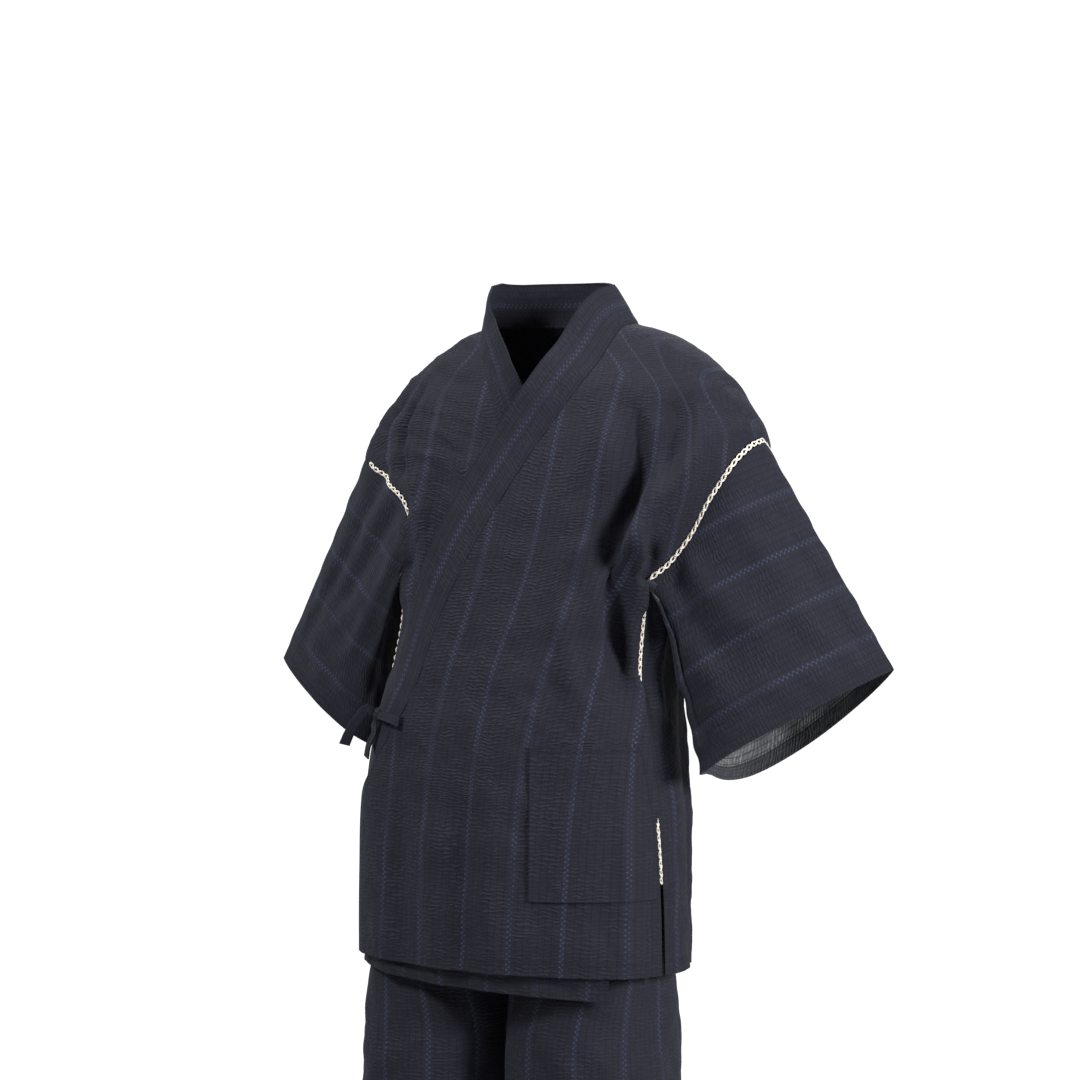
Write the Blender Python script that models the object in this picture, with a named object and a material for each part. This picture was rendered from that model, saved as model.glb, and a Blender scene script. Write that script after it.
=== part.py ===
"""Jinbei set as worn: a wrap jacket with short wide sleeves over trousers that end below the knee.

The garment keeps the hollow form that a standing wearer gives it. Units are metres, +Z is up, the wearer
faces -Y and the wearer's left is +X. The origin lies between the shoulders, where the jacket is held.
An angle on the body is 0 at the front, 90 degrees at the side and 180 at the back. On the wearer's left
half it is positive and on the right half negative; a table that serves one half gives it as positive.
"""

import math

import bmesh
import bpy
import numpy as np
from mathutils import Vector

# Cloth and seams
WALL = 0.0016  # one layer of crinkled cotton with its air
COLLAR_WALL = 0.0024  # the collar is folded double
SEAM = 0.0003  # between pieces that are sewn together
DRAW_BACK = 0.0004  # of each piece from a seam where cloth meets cloth at an angle
BRAID_WIDTH = 0.0080  # openwork braid at the armholes
SIDE_BRAID_WIDTH = 0.0052  # the same braid, pressed narrower, at the side seams
BRAID_ROWS = {1: (19, 10), -1: (19, 7)}  # the rows of an armhole between which it has its braid
OVERLAP_LIFT = 0.0080  # how far the left front stands off over the right one and its collar

# Jacket
HEM = -0.754
FRONT_HEM = {1: -0.744, -1: -0.780}  # at the front edges: the left front rises, the right one droops
NECK = 0.0
SIDE_TOP = -0.297  # where the side seams meet the armholes
SIDE_STATION = 0.41  # the same place, as a station on the armhole
ARMHOLE_ROUND = 0.62  # length round an armhole
CHEST = -0.265  # the level of the front edge beside that place
BACK_CHEST = -0.360
COLLAR_WIDTH = 0.054
COLLAR_END = -0.515
BACK_LEAN = 30.0  # degrees that the collar stands up behind the neck
FRONT_EDGE = {1: math.radians(-60), -1: math.radians(46)}  # below the collar, left and right front
POCKET_TOP = -0.490
POCKET_BOTTOM = -0.665
POCKET_EDGE = math.radians(17)
POCKET_STAND = 0.0010  # its cloth bows out a little from the front under it
GIRTH_RADIUS = 0.170  # turns an angle on the body into a length round it
KNOT = (math.radians(-47), -0.465)  # where the outer ties are bowed
TIE_WIDTH = 0.015
KNOT_SIZE = (0.0130, 0.0110, 0.0160)  # round the body, outwards and up
TIE_STAND = 0.0069  # the knot's middle over the front
LOOP_LENGTH = 0.042
LOOP_HEIGHT = 0.0030

# Trousers
WAIST = -0.400
WAISTBAND_HEIGHT = 0.036
CROTCH = -0.845
CROTCH_CURVE = 0.190
LEG_HEM = -1.130
LEG_GAP = 0.010  # half the gap between the legs at their hems

# Columns and rows of the grids that the pieces are made from
ACROSS_BODY = 13
SIDE_ROWS = 13
FRONT_ARM_ROWS = 10
BACK_ARM_ROWS = 15
ALONG_SLEEVE = 8
COLLAR_ROW = 6  # the row of a front where the collar ends
NECK_ROWS = 5  # from the neck's side to its back
SLIT_ROW = 3  # the row where the slits of the sides end
ROUND_LEG = 20
DOWN_LEG = 14

INDIGO = (0.020, 0.024, 0.042, 1.0)
CREAM = (0.72, 0.66, 0.58, 1.0)


def table(columns, *rows):
    """A dictionary of named columns, from rows of numbers."""
    return dict(zip(columns.split(), np.array(rows, float).T))


# The rounded rings of the jacket body; corner is 2 for an ellipse and more for a squarer ring
JACKET = table(
    "height half_width front back centre_x centre_y corner",
    (-0.800, 0.202, 0.138, 0.132, -0.031, -0.024, 2.30),
    (-0.650, 0.202, 0.137, 0.128, -0.031, -0.024, 2.30),
    (-0.560, 0.200, 0.136, 0.125, -0.031, -0.022, 2.30),
    (-0.480, 0.190, 0.133, 0.120, -0.029, -0.018, 2.30),
    (-0.400, 0.178, 0.129, 0.117, -0.021, -0.011, 2.35),
    (-0.335, 0.184, 0.127, 0.122, -0.009, -0.004, 2.40),
    (-0.270, 0.210, 0.125, 0.128, 0.000, 0.002, 2.45),
    (-0.210, 0.241, 0.120, 0.130, 0.002, 0.006, 2.45),
    (-0.160, 0.254, 0.112, 0.127, 0.003, 0.008, 2.40),
    (-0.130, 0.250, 0.104, 0.121, 0.003, 0.008, 2.35),
    (-0.088, 0.225, 0.092, 0.109, 0.005, 0.008, 2.25),
    (-0.056, 0.198, 0.079, 0.097, 0.006, 0.008, 2.15),
    (-0.030, 0.165, 0.066, 0.085, 0.006, 0.008, 2.10),
    (-0.012, 0.131, 0.055, 0.074, 0.003, 0.008, 2.05),
    (0.000, 0.094, 0.046, 0.066, 0.000, 0.008, 2.00),
)

# How far across the seams between the fronts and the collar lie
COLLAR_SEAM = table(
    "height left right",
    (-0.515, -0.176, 0.076),
    (-0.450, -0.130, 0.068),
    (-0.333, -0.085, 0.038),
    (-0.231, -0.031, 0.006),
    (-0.165, 0.010, -0.018),
    (-0.128, 0.034, -0.033),
    (-0.092, 0.057, -0.049),
    (-0.054, 0.078, -0.068),
    (-0.020, 0.089, -0.086),
    (0.000, 0.094, -0.094),
)

# How far the collar turns up from lying on the body, at its seam; behind the neck it stands
COLLAR_LEAN = table(
    "height left right",
    (-0.230, 0.0, 0.0),
    (-0.165, 8.0, 0.0),
    (-0.128, 17.0, 8.0),
    (-0.092, 20.0, 26.0),
    (-0.054, 20.0, 36.0),
    (-0.020, 30.0, 46.0),
    (0.000, 44.0, 58.0),
)

SIDE_SEAM = table(
    "height left right",
    (-0.800, 75.0, 78.0),
    (-0.620, 72.0, 76.0),
    (-0.560, 69.5, 74.0),
    (-0.500, 66.5, 71.5),
    (-0.450, 64.5, 69.0),
    (-0.400, 62.0, 66.0),
    (-0.350, 57.0, 61.0),
    (-0.297, 48.5, 56.0),
)

# Station 0 of an armhole is the shoulder and 0.5 is under the arm, by way of the front
ARMHOLE = {
    1: table(
        "station angle height",
        (0.00, 90.0, -0.1350),
        (0.06, 78.0, -0.1420),
        (0.13, 66.0, -0.1640),
        (0.20, 59.0, -0.2030),
        (0.28, 57.5, -0.2480),
        (0.35, 54.0, -0.2760),
        (0.41, 48.5, -0.2970),
        (0.50, 63.0, -0.3200),
        (0.60, 86.0, -0.3280),
        (0.70, 105.0, -0.3020),
        (0.80, 112.0, -0.2500),
        (0.88, 110.0, -0.1950),
        (0.94, 101.0, -0.1560),
        (1.00, 90.0, -0.1350),
    ),
    -1: table(
        "station angle height",
        (0.00, 90.0, -0.1330),
        (0.05, 77.0, -0.1430),
        (0.10, 61.0, -0.1670),
        (0.15, 48.0, -0.1850),
        (0.20, 39.0, -0.2020),
        (0.25, 36.0, -0.2250),
        (0.31, 38.0, -0.2550),
        (0.36, 46.0, -0.2820),
        (0.41, 56.0, -0.2970),
        (0.50, 74.0, -0.3180),
        (0.60, 92.0, -0.3270),
        (0.70, 106.0, -0.3020),
        (0.80, 112.0, -0.2500),
        (0.88, 110.0, -0.1950),
        (0.94, 101.0, -0.1570),
        (1.00, 90.0, -0.1330),
    ),
}

# Folds of the jacket body: a ridge has a positive rise, a trough a negative one
FOLDS = table(
    "angle_1 height_1 angle_2 height_2 bow width rise",
    (56, -0.080, 20, -0.255, 0.008, 0.020, -0.013),
    (54, -0.135, 34, -0.300, 0.012, 0.017, 0.011),
    (42, -0.250, 56, -0.440, 0.016, 0.018, -0.011),
    (70, -0.345, 76, -0.480, 0.004, 0.016, 0.010),
    (-62, -0.075, -52, -0.195, -0.004, 0.017, -0.014),
    (-30, -0.500, -22, -0.790, 0.000, 0.028, -0.006),
    (20, -0.340, 4, -0.790, 0.010, 0.034, 0.005),
    (60, -0.560, 52, -0.800, 0.000, 0.026, 0.006),
    (120, -0.120, 134, -0.330, 0.010, 0.022, 0.011),
    (136, -0.100, 152, -0.400, 0.008, 0.024, -0.010),
    (-120, -0.120, -134, -0.330, -0.010, 0.022, 0.011),
    (-136, -0.100, -150, -0.420, -0.008, 0.024, -0.010),
    (98, -0.400, 110, -0.790, 0.000, 0.028, -0.009),
    (134, -0.420, 128, -0.800, 0.000, 0.032, 0.008),
    (-100, -0.400, -108, -0.790, 0.000, 0.028, -0.009),
    (-130, -0.430, -134, -0.800, 0.000, 0.032, 0.008),
)

# The free ends of the bow: offsets from the knot to the wearer's left, upwards and outwards
TIE_END_UPPER = table(
    "right rise out",
    (0.000, 0.0020, 0.0059),
    (-0.001, 0.0045, 0.0150),
    (-0.004, -0.0090, 0.0220),
    (-0.008, -0.0250, 0.0270),
    (-0.012, -0.0390, 0.0290),
)
TIE_END_LOWER = table(
    "right rise out",
    (-0.001, -0.0077, 0.0008),
    (-0.003, -0.0200, -0.0010),
    (-0.009, -0.0340, 0.0010),
    (-0.013, -0.0500, 0.0000),
)

# The tie between the right side seam and the knot, in the same way: it climbs over the collar's edge
TIE_FROM_SIDE = table(
    "right rise out",
    (-0.0640, 0.0060, -0.0130),
    (-0.0530, 0.0040, -0.0125),
    (-0.0430, 0.0020, -0.0080),
    (-0.0330, 0.0010, -0.0042),
    (-0.0190, 0.0000, -0.0042),
    (-0.0052, 0.0000, -0.0042),
)

# The flattened mouth of each sleeve, given as on the left arm
CUFF = {
    1: {"top": (0.411, 0.022, -0.401), "bottom": (0.200, -0.020, -0.524), "depth": 0.160, "droop": 0.026},
    -1: {"top": (0.403, 0.036, -0.407), "bottom": (0.246, 0.030, -0.512), "depth": 0.120, "droop": 0.010},
}

TROUSERS = table(
    "height half_width front back centre_x centre_y corner",
    (-1.140, 0.198, 0.118, 0.120, -0.042, -0.010, 2.2),
    (-1.000, 0.195, 0.120, 0.122, -0.042, -0.014, 2.2),
    (-0.845, 0.190, 0.120, 0.122, -0.041, -0.020, 2.2),
    (-0.760, 0.186, 0.115, 0.114, -0.039, -0.023, 2.2),
    (-0.640, 0.180, 0.109, 0.108, -0.036, -0.023, 2.2),
    (-0.540, 0.172, 0.104, 0.100, -0.032, -0.020, 2.2),
    (-0.400, 0.148, 0.096, 0.090, -0.022, -0.010, 2.2),
    (-0.360, 0.147, 0.095, 0.089, -0.020, -0.009, 2.2),
)


def smooth(at, stations, values):
    """Reads a smooth curve through the values at the given stations."""
    at = np.clip(at, stations[0], stations[-1])
    slopes = np.gradient(values, stations)
    low = np.clip(np.searchsorted(stations, at) - 1, 0, len(stations) - 2)
    span = stations[low + 1] - stations[low]
    t = (at - stations[low]) / span
    rise = t * t * (3 - 2 * t)
    bend = span * (t * (1 - t) ** 2 * slopes[low] - t * t * (1 - t) * slopes[low + 1])
    return values[low] * (1 - rise) + values[low + 1] * rise + bend


def column(rows, name, at, key="height"):
    return smooth(at, rows[key], rows[name])


def step(value, low, high):
    """0 below low and 1 above high, with a smooth rise between them."""
    t = np.clip((value - low) / (high - low), 0, 1)
    return t * t * (3 - 2 * t)


def mix(first, second, share):
    return first * (1 - share) + second * share


def unit(vectors):
    return vectors / np.linalg.norm(vectors, axis=-1, keepdims=True)


def power(value, exponent):
    return np.sign(value) * np.abs(value) ** exponent


def ring(rows, angle, height):
    """A point on the rounded rings of a table."""
    part = {name: column(rows, name, height) for name in rows if name != "height"}
    across, ahead = np.sin(angle), np.cos(angle)
    depth = np.where(ahead > 0, part["front"], part["back"])
    x = part["centre_x"] + part["half_width"] * power(across, 2 / part["corner"])
    y = part["centre_y"] - depth * power(ahead, 2 / part["corner"])
    return np.stack([x, y, height + 0 * x], -1)


def ring_normal(rows, angle, height, top):
    turn, rise = 0.02, 0.004
    high = np.minimum(height + rise, top)
    round_ring = ring(rows, angle + turn, height) - ring(rows, angle - turn, height)
    up_ring = ring(rows, angle, high) - ring(rows, angle, high - 2 * rise)
    return unit(np.cross(round_ring, up_ring))


def fold_rise(angle, height):
    """How far the folds move the cloth out at a place on the jacket body."""
    wrapped = (angle + math.pi) % (2 * math.pi) - math.pi
    total = np.zeros(np.shape(wrapped))
    for row in np.stack([FOLDS[name] for name in FOLDS], -1):
        angle_1, height_1, angle_2, height_2, bow, width, rise = row
        start = np.array([math.radians(angle_1) * GIRTH_RADIUS, height_1])
        line = np.array([math.radians(angle_2) * GIRTH_RADIUS, height_2]) - start
        length = np.linalg.norm(line)
        line = line / length
        right, up = wrapped * GIRTH_RADIUS - start[0], height - start[1]
        along = (right * line[0] + up * line[1]) / length
        across = right * line[1] - up * line[0] - bow * 4 * along * (1 - along)
        ends = step(along, -0.10, 0.25) * (1 - step(along, 0.75, 1.10))
        total += rise * ends * np.exp(-((across / width) ** 2))
    return total


def body(angle, height, out=0.0):
    """A point of the jacket body's outer surface, moved out by a distance."""
    angle, height, out = np.broadcast_arrays(angle, height, np.asarray(out, float))
    moved = (fold_rise(angle, height) + out)[..., None]
    return ring(JACKET, angle, height) + ring_normal(JACKET, angle, height, NECK) * moved


def metric(angle, height):
    """Metres on the jacket body for one radian round it, and for one metre of height."""
    turn, rise = 0.01, 0.002
    low = np.minimum(height, NECK - rise)
    round_ring = ring(JACKET, angle + turn, height) - ring(JACKET, angle - turn, height)
    up_ring = ring(JACKET, angle, low + rise) - ring(JACKET, angle, low)
    return np.linalg.norm(round_ring, axis=-1) / (2 * turn), np.linalg.norm(up_ring, axis=-1) / rise


def half(side):
    return "left" if side > 0 else "right"


def seam_angle(height, side):
    """The angle of the seam between a front and the collar, or of the front's edge below the collar."""
    at = np.clip(height, COLLAR_END, NECK)
    share = column(COLLAR_SEAM, half(side), at) - column(JACKET, "centre_x", at)
    share = share / column(JACKET, "half_width", at)
    on_seam = np.arcsin(np.clip(power(share, column(JACKET, "corner", at) / 2), -1, 1))
    return mix(FRONT_EDGE[side], on_seam, step(height, COLLAR_END - 0.045, COLLAR_END + 0.005))


def overlap_lift(angle, height, side):
    """How far the left front stands off where the right front or its collar may lie under it."""
    if side < 0:
        return 0 * (angle + height)
    below_neck = 1 - step(height, -0.085, -0.030)
    before_side = 1 - step(angle, math.radians(36), math.radians(66))
    return OVERLAP_LIFT * below_neck * before_side


def outer_edge(way, side):
    """Side seam up to the armhole, round it over the shoulder, and down the side seam at the back.

    The way is 0 to 1 along the front of the side seam, 2 at the shoulder and 3 to 4 at the back.
    """
    parting = SIDE_BRAID_WIDTH / 2 + SEAM
    on_loop = parting / ARMHOLE_ROUND
    front_height = mix(HEM, SIDE_TOP, np.clip(way, 0, 1))
    back_height = mix(SIDE_TOP, HEM, np.clip(way - 3, 0, 1))
    front = mix(SIDE_STATION - on_loop, 0, np.clip(way - 1, 0, 1))
    station = np.where(way < 2, front, mix(1, SIDE_STATION + on_loop, np.clip(way - 2, 0, 1)))
    loop = (way > 1) & (way < 3)
    height = np.where(way <= 1, front_height, back_height)
    angle = np.radians(column(SIDE_SEAM, half(side), height))
    angle = angle + np.where(way <= 1, -1, 1) * parting / GIRTH_RADIUS
    angle = np.where(loop, np.radians(column(ARMHOLE[side], "angle", station, "station")), angle)
    height = np.where(loop, column(ARMHOLE[side], "height", station, "station"), height)
    return side * angle, height


def inner_edge(way, side):
    """Front edge and collar seam up to the neck, back of the neck, and down the centre of the back."""
    at_end = COLLAR_ROW / SIDE_ROWS
    height = mix(FRONT_HEM[side], COLLAR_END, np.clip(way / at_end, 0, 1))
    height = np.where(way > at_end, mix(COLLAR_END, CHEST, np.clip((way - at_end) / (1 - at_end), 0, 1)), height)
    height = np.where(way > 1, mix(CHEST, NECK, np.clip(way - 1, 0, 1) ** 0.8), height)
    angle = seam_angle(height, side)
    back = math.pi - SEAM / 2 / GIRTH_RADIUS
    at_back = NECK_ROWS / BACK_ARM_ROWS
    round_back = side * mix(math.pi / 2, back, np.clip((way - 2) / at_back, 0, 1))
    down_back = mix(NECK, BACK_CHEST, np.clip((way - 2 - at_back) / (1 - at_back), 0, 1))
    down_back = np.where(way > 3, mix(BACK_CHEST, HEM, np.clip(way - 3, 0, 1)), down_back)
    return np.where(way > 2, round_back, angle), np.where(way > 2, down_back, height)


def body_ways():
    parts = (
        np.linspace(0, 1, SIDE_ROWS + 1),
        np.linspace(1, 2, FRONT_ARM_ROWS + 1)[1:],
        np.linspace(2, 3, BACK_ARM_ROWS + 1)[1:],
        np.linspace(3, 4, SIDE_ROWS + 1)[1:],
    )
    return np.concatenate(parts)


def armhole_stations():
    """The rows of the body that end at an armhole, so that the braid and sleeve meet them point by point."""
    front = SIDE_STATION * np.linspace(0, 1, FRONT_ARM_ROWS + 1)
    back = mix(SIDE_STATION, 1, np.linspace(0, 1, BACK_ARM_ROWS + 1))
    return np.concatenate([front, back[1:]])


def parted(*sheets):
    """Draws the first and last rows of a piece back, so that it stays clear of its neighbours."""
    for points in sheets:
        for edge, beside in ((0, 1), (-1, -2)):
            points[edge] += unit(points[beside] - points[edge]) * DRAW_BACK
    return sheets


def body_panel(side, ahead):
    """The front or back of one half of the jacket body; both are one piece of cloth, folded at the shoulder."""
    shoulder = SIDE_ROWS + FRONT_ARM_ROWS
    ways = body_ways()[: shoulder + 1, None] if ahead else body_ways()[shoulder:, None]
    share = np.linspace(0, 1, ACROSS_BODY + 1)[None, :]
    inner_angle, inner_height = inner_edge(ways, side)
    outer_angle, outer_height = outer_edge(ways, side)
    angle = mix(inner_angle, outer_angle, share)
    height = mix(inner_height, outer_height, share)
    lift = overlap_lift(angle, height, side)
    return parted(body(angle, height, lift), body(angle, height, lift - WALL))


def armhole(side, station):
    angle = side * np.radians(column(ARMHOLE[side], "angle", station, "station"))
    return angle, column(ARMHOLE[side], "height", station, "station")


def cuff(side, station):
    """The mouth of a sleeve: pinched along its top fold and round underneath."""
    mouth = CUFF[side]
    top, bottom = np.array(mouth["top"]), np.array(mouth["bottom"])
    turn = 2 * math.pi * station
    down = (1 - np.cos(turn)) / 2
    depth = mouth["depth"] / 2 * power(np.sin(turn), 0.60) * (1.15 * np.sin(turn / 2)) ** 1.1
    points = top + (bottom - top) * down[..., None]
    points[..., 1] -= depth
    points[..., 2] -= mouth["droop"] * np.clip(-2 * depth / mouth["depth"], 0, 1)
    return points * np.array([side, 1, 1])


def arm_place(side, station, run):
    start = body(*armhole(side, station % 1), overlap_lift(*armhole(side, station % 1), side))
    line = cuff(side, station % 1) - start
    return start + line * (run / np.linalg.norm(line, axis=-1))[..., None]


def arm_normal(side, station, run):
    turn, reach = 0.012, 0.006
    round_arm = arm_place(side, station + turn, run) - arm_place(side, station - turn, run)
    along_arm = arm_place(side, station, run + reach) - arm_place(side, station, run - reach)
    return side * unit(np.cross(round_arm, along_arm))


def folded_back(side, station):
    """0 where a sleeve goes on from the body's surface at its seam, 1 where it stands out and 2 folded back."""
    at_seam = ring_normal(JACKET, *armhole(side, station % 1), NECK)
    return 1 - (at_seam * arm_normal(side, station, 0 * station + 0.004)).sum(-1)


def arm(side, station, run, out=0.0, turns=0.012):
    """A point of a sleeve, or of the braid before it, at a distance from the armhole.

    Where the sleeve goes on from the body, its wall starts out square to the body's surface and turns square
    to the sleeve's own over a distance. Elsewhere, as under the arm, it is square to the sleeve throughout.
    """
    station, run = np.broadcast_arrays(station, run)
    at_seam = ring_normal(JACKET, *armhole(side, station % 1), NECK)
    own_share = np.maximum(step(run, 0.0, turns), step(folded_back(side, station), 0.05, 0.45))
    normal = unit(mix(at_seam, arm_normal(side, station, run), own_share[..., None]))
    return arm_place(side, station, run) + normal * out


def arm_length(side, station):
    angle, height = armhole(side, station)
    return np.linalg.norm(cuff(side, station) - body(angle, height), axis=-1)


def neck_lean(side, height, back):
    """How far the collar turns up from lying on the body, at its seam."""
    lean = np.where(side > 0, column(COLLAR_LEAN, "left", height), column(COLLAR_LEAN, "right", height))
    return np.radians(mix(lean, BACK_LEAN, back))


def collar_path():
    """The seam's angle and height at the rows of the body, and 0 to 1 from the neck's side to its back."""
    back_row = SIDE_ROWS + FRONT_ARM_ROWS + NECK_ROWS
    ways = body_ways()[COLLAR_ROW : back_row + 1]
    left_angle, left_height = inner_edge(ways, 1)
    right_angle, right_height = inner_edge(ways, -1)
    angle = np.concatenate([left_angle[:-1], [math.pi], 2 * math.pi + right_angle[-2::-1]])
    height = np.concatenate([left_height, right_height[-2::-1]])
    back = 2 * np.clip(np.minimum(angle, 2 * math.pi - angle) / math.pi, 0.5, 1) - 1
    return angle, height, np.where(height > NECK - 1e-6, back, 0.0)


def collar():
    angle, height, back = collar_path()
    side = np.where(angle < math.pi, 1, -1)
    lift = np.where(side > 0, overlap_lift(angle, height, 1), 0.0)
    normal = ring_normal(JACKET, angle, height, NECK)
    seam = body(angle, height, lift)
    along = unit(np.gradient(seam, axis=0))
    inward = unit(np.cross(normal, along))
    lean = neck_lean(side, height, back)[:, None]
    rising = inward * np.cos(lean) + normal * np.sin(lean)
    facing = normal * np.cos(lean) - inward * np.sin(lean)
    round_metre, up_metre = metric(angle, height)
    east = unit(ring(JACKET, angle + 0.01, height) - ring(JACKET, angle - 0.01, height))
    north = np.cross(normal, east)
    turn_share = (inward * east).sum(-1) / round_metre
    rise_share = (inward * north).sum(-1) / up_metre
    stands = step(height, -0.34, -0.20)[:, None]
    sheets = []
    for out in (0.0008, 0.0008 - COLLAR_WALL):
        strips = []
        for share in np.linspace(SEAM / COLLAR_WIDTH, 1, 4):
            width = share * COLLAR_WIDTH
            there = np.minimum(height + rise_share * width, NECK - 0.004)
            turned = angle + turn_share * width
            lying = body(turned, there, lift + out)
            standing = seam + rising * width + facing * out
            strips.append(mix(lying, standing, stands))
        sheets.append(np.stack(strips, 1))
    return sheets


def collar_parts():
    """The collar's rows in three lengths: the left front's, behind the neck, and the right front's."""
    sheets = collar()
    neck_side = SIDE_ROWS + FRONT_ARM_ROWS - COLLAR_ROW
    cuts = (0, neck_side, neck_side + 2 * NECK_ROWS, len(sheets[0]) - 1)
    for name, first, last in zip(("left", "back", "right"), cuts, cuts[1:]):
        yield name, parted(*(sheet[first : last + 1].copy() for sheet in sheets))


def side_braid(side):
    """The strip of braid between the front and back edges of a side seam, from the slit to the armhole."""
    apart = np.array([-0.5, 0.5])[None, :] * SIDE_BRAID_WIDTH
    height = mix(HEM, SIDE_TOP, np.linspace(0, 1, SIDE_ROWS + 1)[SLIT_ROW:, None])
    station = SIDE_STATION + apart / ARMHOLE_ROUND
    top = column(ARMHOLE[side], "height", station, "station") - 8 * SEAM
    height = np.minimum(height, top)
    angle = side * (np.radians(column(SIDE_SEAM, half(side), height)) + apart / GIRTH_RADIUS)
    lift = overlap_lift(angle, height, side)
    return body(angle, height, lift), body(angle, height, lift - WALL)


def armhole_braid(side):
    """The braid over the shoulder; under the arm, where the sleeve is folded back flat, it has no room."""
    first, last = BRAID_ROWS[side]
    station = armhole_stations()
    end = station[last] - SIDE_BRAID_WIDTH / ARMHOLE_ROUND
    station = np.concatenate([station[first:], station[1:last], [end]])[None, :]
    run = np.array([1.6 * SEAM, BRAID_WIDTH - SEAM])[:, None]
    return arm(side, station, run), arm(side, station, run, -WALL, turns=0.030)


def sleeve(side, ahead):
    """The front or back of a sleeve, from its top fold to the seam under the arm."""
    stations = armhole_stations()
    station = stations[: FRONT_ARM_ROWS + 1, None] if ahead else stations[FRONT_ARM_ROWS:, None]
    share = np.linspace(0, 1, ALONG_SLEEVE + 1)[None, :]
    run = mix(BRAID_WIDTH, arm_length(side, station), share)
    return parted(arm(side, station, run), arm(side, station, run, -WALL))


def pocket():
    """A patch sewn on the left front, reaching to the side seam."""
    share = np.linspace(0, 1, 7)
    height = mix(POCKET_BOTTOM, POCKET_TOP, share)[:, None]
    seam = np.radians(column(SIDE_SEAM, "left", height)) - 0.010 / GIRTH_RADIUS
    angle = mix(POCKET_EDGE, seam, np.linspace(0, 1, 9)[None, :])
    height = height + 0 * angle
    lift = overlap_lift(angle, height, 1) + POCKET_STAND
    return body(angle, height, lift + WALL), body(angle, height, lift)


def leg(side, ahead):
    """The front or back of a trouser leg: a quarter of the seat above the crotch and half a tube below it."""
    height = np.linspace(LEG_HEM, WAIST - WAISTBAND_HEIGHT - 3 * SEAM, DOWN_LEG + 1)[None, :]
    share = (0.0 if ahead else 0.5) + np.linspace(0, 0.5, ROUND_LEG // 2 + 1)[:, None]
    height, share = np.broadcast_arrays(height, share)
    part = {name: column(TROUSERS, name, height) for name in TROUSERS if name != "height"}
    sheets = []
    for inset in (0.0, WALL):
        grown = dict(TROUSERS)
        for name in ("half_width", "front", "back"):
            grown[name] = TROUSERS[name] - inset
        seat = ring(grown, side * math.pi * share, height)
        gap = mix(SEAM / 2, LEG_GAP, step(-height, -CROTCH, -LEG_HEM)) + inset
        reach = (part["half_width"] - inset - gap) / 2
        turn = math.pi * (1 + 2 * share)
        depth = np.where(np.sin(turn) < 0, part["front"], part["back"]) - inset
        x = part["centre_x"] + side * (gap + reach * (1 + power(np.cos(turn), 0.9)))
        y = part["centre_y"] + depth * power(np.sin(turn), 0.9)
        tube = np.stack([x, y, height], -1)
        part_way = 1 - step(height, CROTCH, CROTCH + CROTCH_CURVE)
        points = mix(seat, tube, part_way[..., None])
        away = side * (points[..., 0] - part["centre_x"])
        points[..., 0] = part["centre_x"] + side * np.maximum(away, SEAM / 2)
        sheets.append(points)
    return parted(*sheets)


def waistband():
    angle = np.linspace(0, 2 * math.pi, 41)[None, :]
    height = np.array([WAIST - WAISTBAND_HEIGHT, WAIST])[:, None]
    height, angle = np.broadcast_arrays(height, angle)
    normal = ring_normal(TROUSERS, angle, height, WAIST + 0.04)
    middle = ring(TROUSERS, angle, height)
    return middle + normal * 0.0006, middle - normal * (COLLAR_WALL - 0.0006)


def by_knot(right, rise, out):
    """A place beside the bow's knot, by distances round the body, up and outwards."""
    return body(KNOT[0] + right / GIRTH_RADIUS, KNOT[1] + rise, OVERLAP_LIFT + TIE_STAND + out)


def tape(path, across, width):
    """A flat tie along a path, with the way across it."""
    across = unit(across + 0 * path) * width / 2
    facing = unit(np.cross(np.gradient(path, axis=0), across))
    outer = np.stack([path - across, path + across], 1)
    return outer, outer - facing[:, None] * WALL


def along_rows(rows, count):
    """Points at even steps along a table of offsets from the knot."""
    at = np.linspace(0, 1, len(rows["out"]))
    steps = np.linspace(0, 1, count)
    return by_knot(*(smooth(steps, at, rows[name]) for name in ("right", "rise", "out")))


def knot_ways():
    """At the knot: round the body to the wearer's left, outwards and up."""
    outwards = ring_normal(JACKET, *KNOT, NECK)
    right = unit(by_knot(0.001, 0, 0) - by_knot(-0.001, 0, 0))
    return right, outwards, np.cross(outwards, right)


def tie_loop():
    """The loop of the bow: tape that leaves the knot, turns round and comes back under itself."""
    right, outwards, up = knot_ways()
    turn = np.linspace(0, math.pi, 15)
    reach = KNOT_SIZE[0] / 2 + SEAM + LOOP_LENGTH * np.sin(turn) ** 0.8
    sag = 0.003 * np.sin(turn) ** 2
    path = by_knot(reach, -sag, LOOP_HEIGHT * np.cos(turn))
    return tape(path, up, TIE_WIDTH * mix(0.6, 1.0, np.sin(turn))[:, None])


def tie_end(rows, edge_on):
    """A free end of the bow, flat on the body or edge-on to it."""
    right, outwards, up = knot_ways()
    path = along_rows(rows, 11)
    slope = np.gradient(path, axis=0)
    across = np.cross(right if edge_on else outwards, slope)
    return tape(path, across, TIE_WIDTH * mix(0.6, 0.9, np.linspace(0, 1, 11) ** 0.5)[:, None])


def tie_from_side():
    right, outwards, up = knot_ways()
    return tape(along_rows(TIE_FROM_SIDE, 13), up, TIE_WIDTH * 0.7)


def knot(material):
    """The knot of the bow, a rounded lump of tape."""
    place, ways = by_knot(0, 0, 0), np.stack(knot_ways())
    mesh = bmesh.new()
    bmesh.ops.create_uvsphere(mesh, u_segments=12, v_segments=8, radius=0.5)
    for vertex in mesh.verts:
        vertex.co = Vector(place + (np.array(vertex.co) * KNOT_SIZE) @ ways)
    return add("tie_knot", mesh, material)


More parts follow.
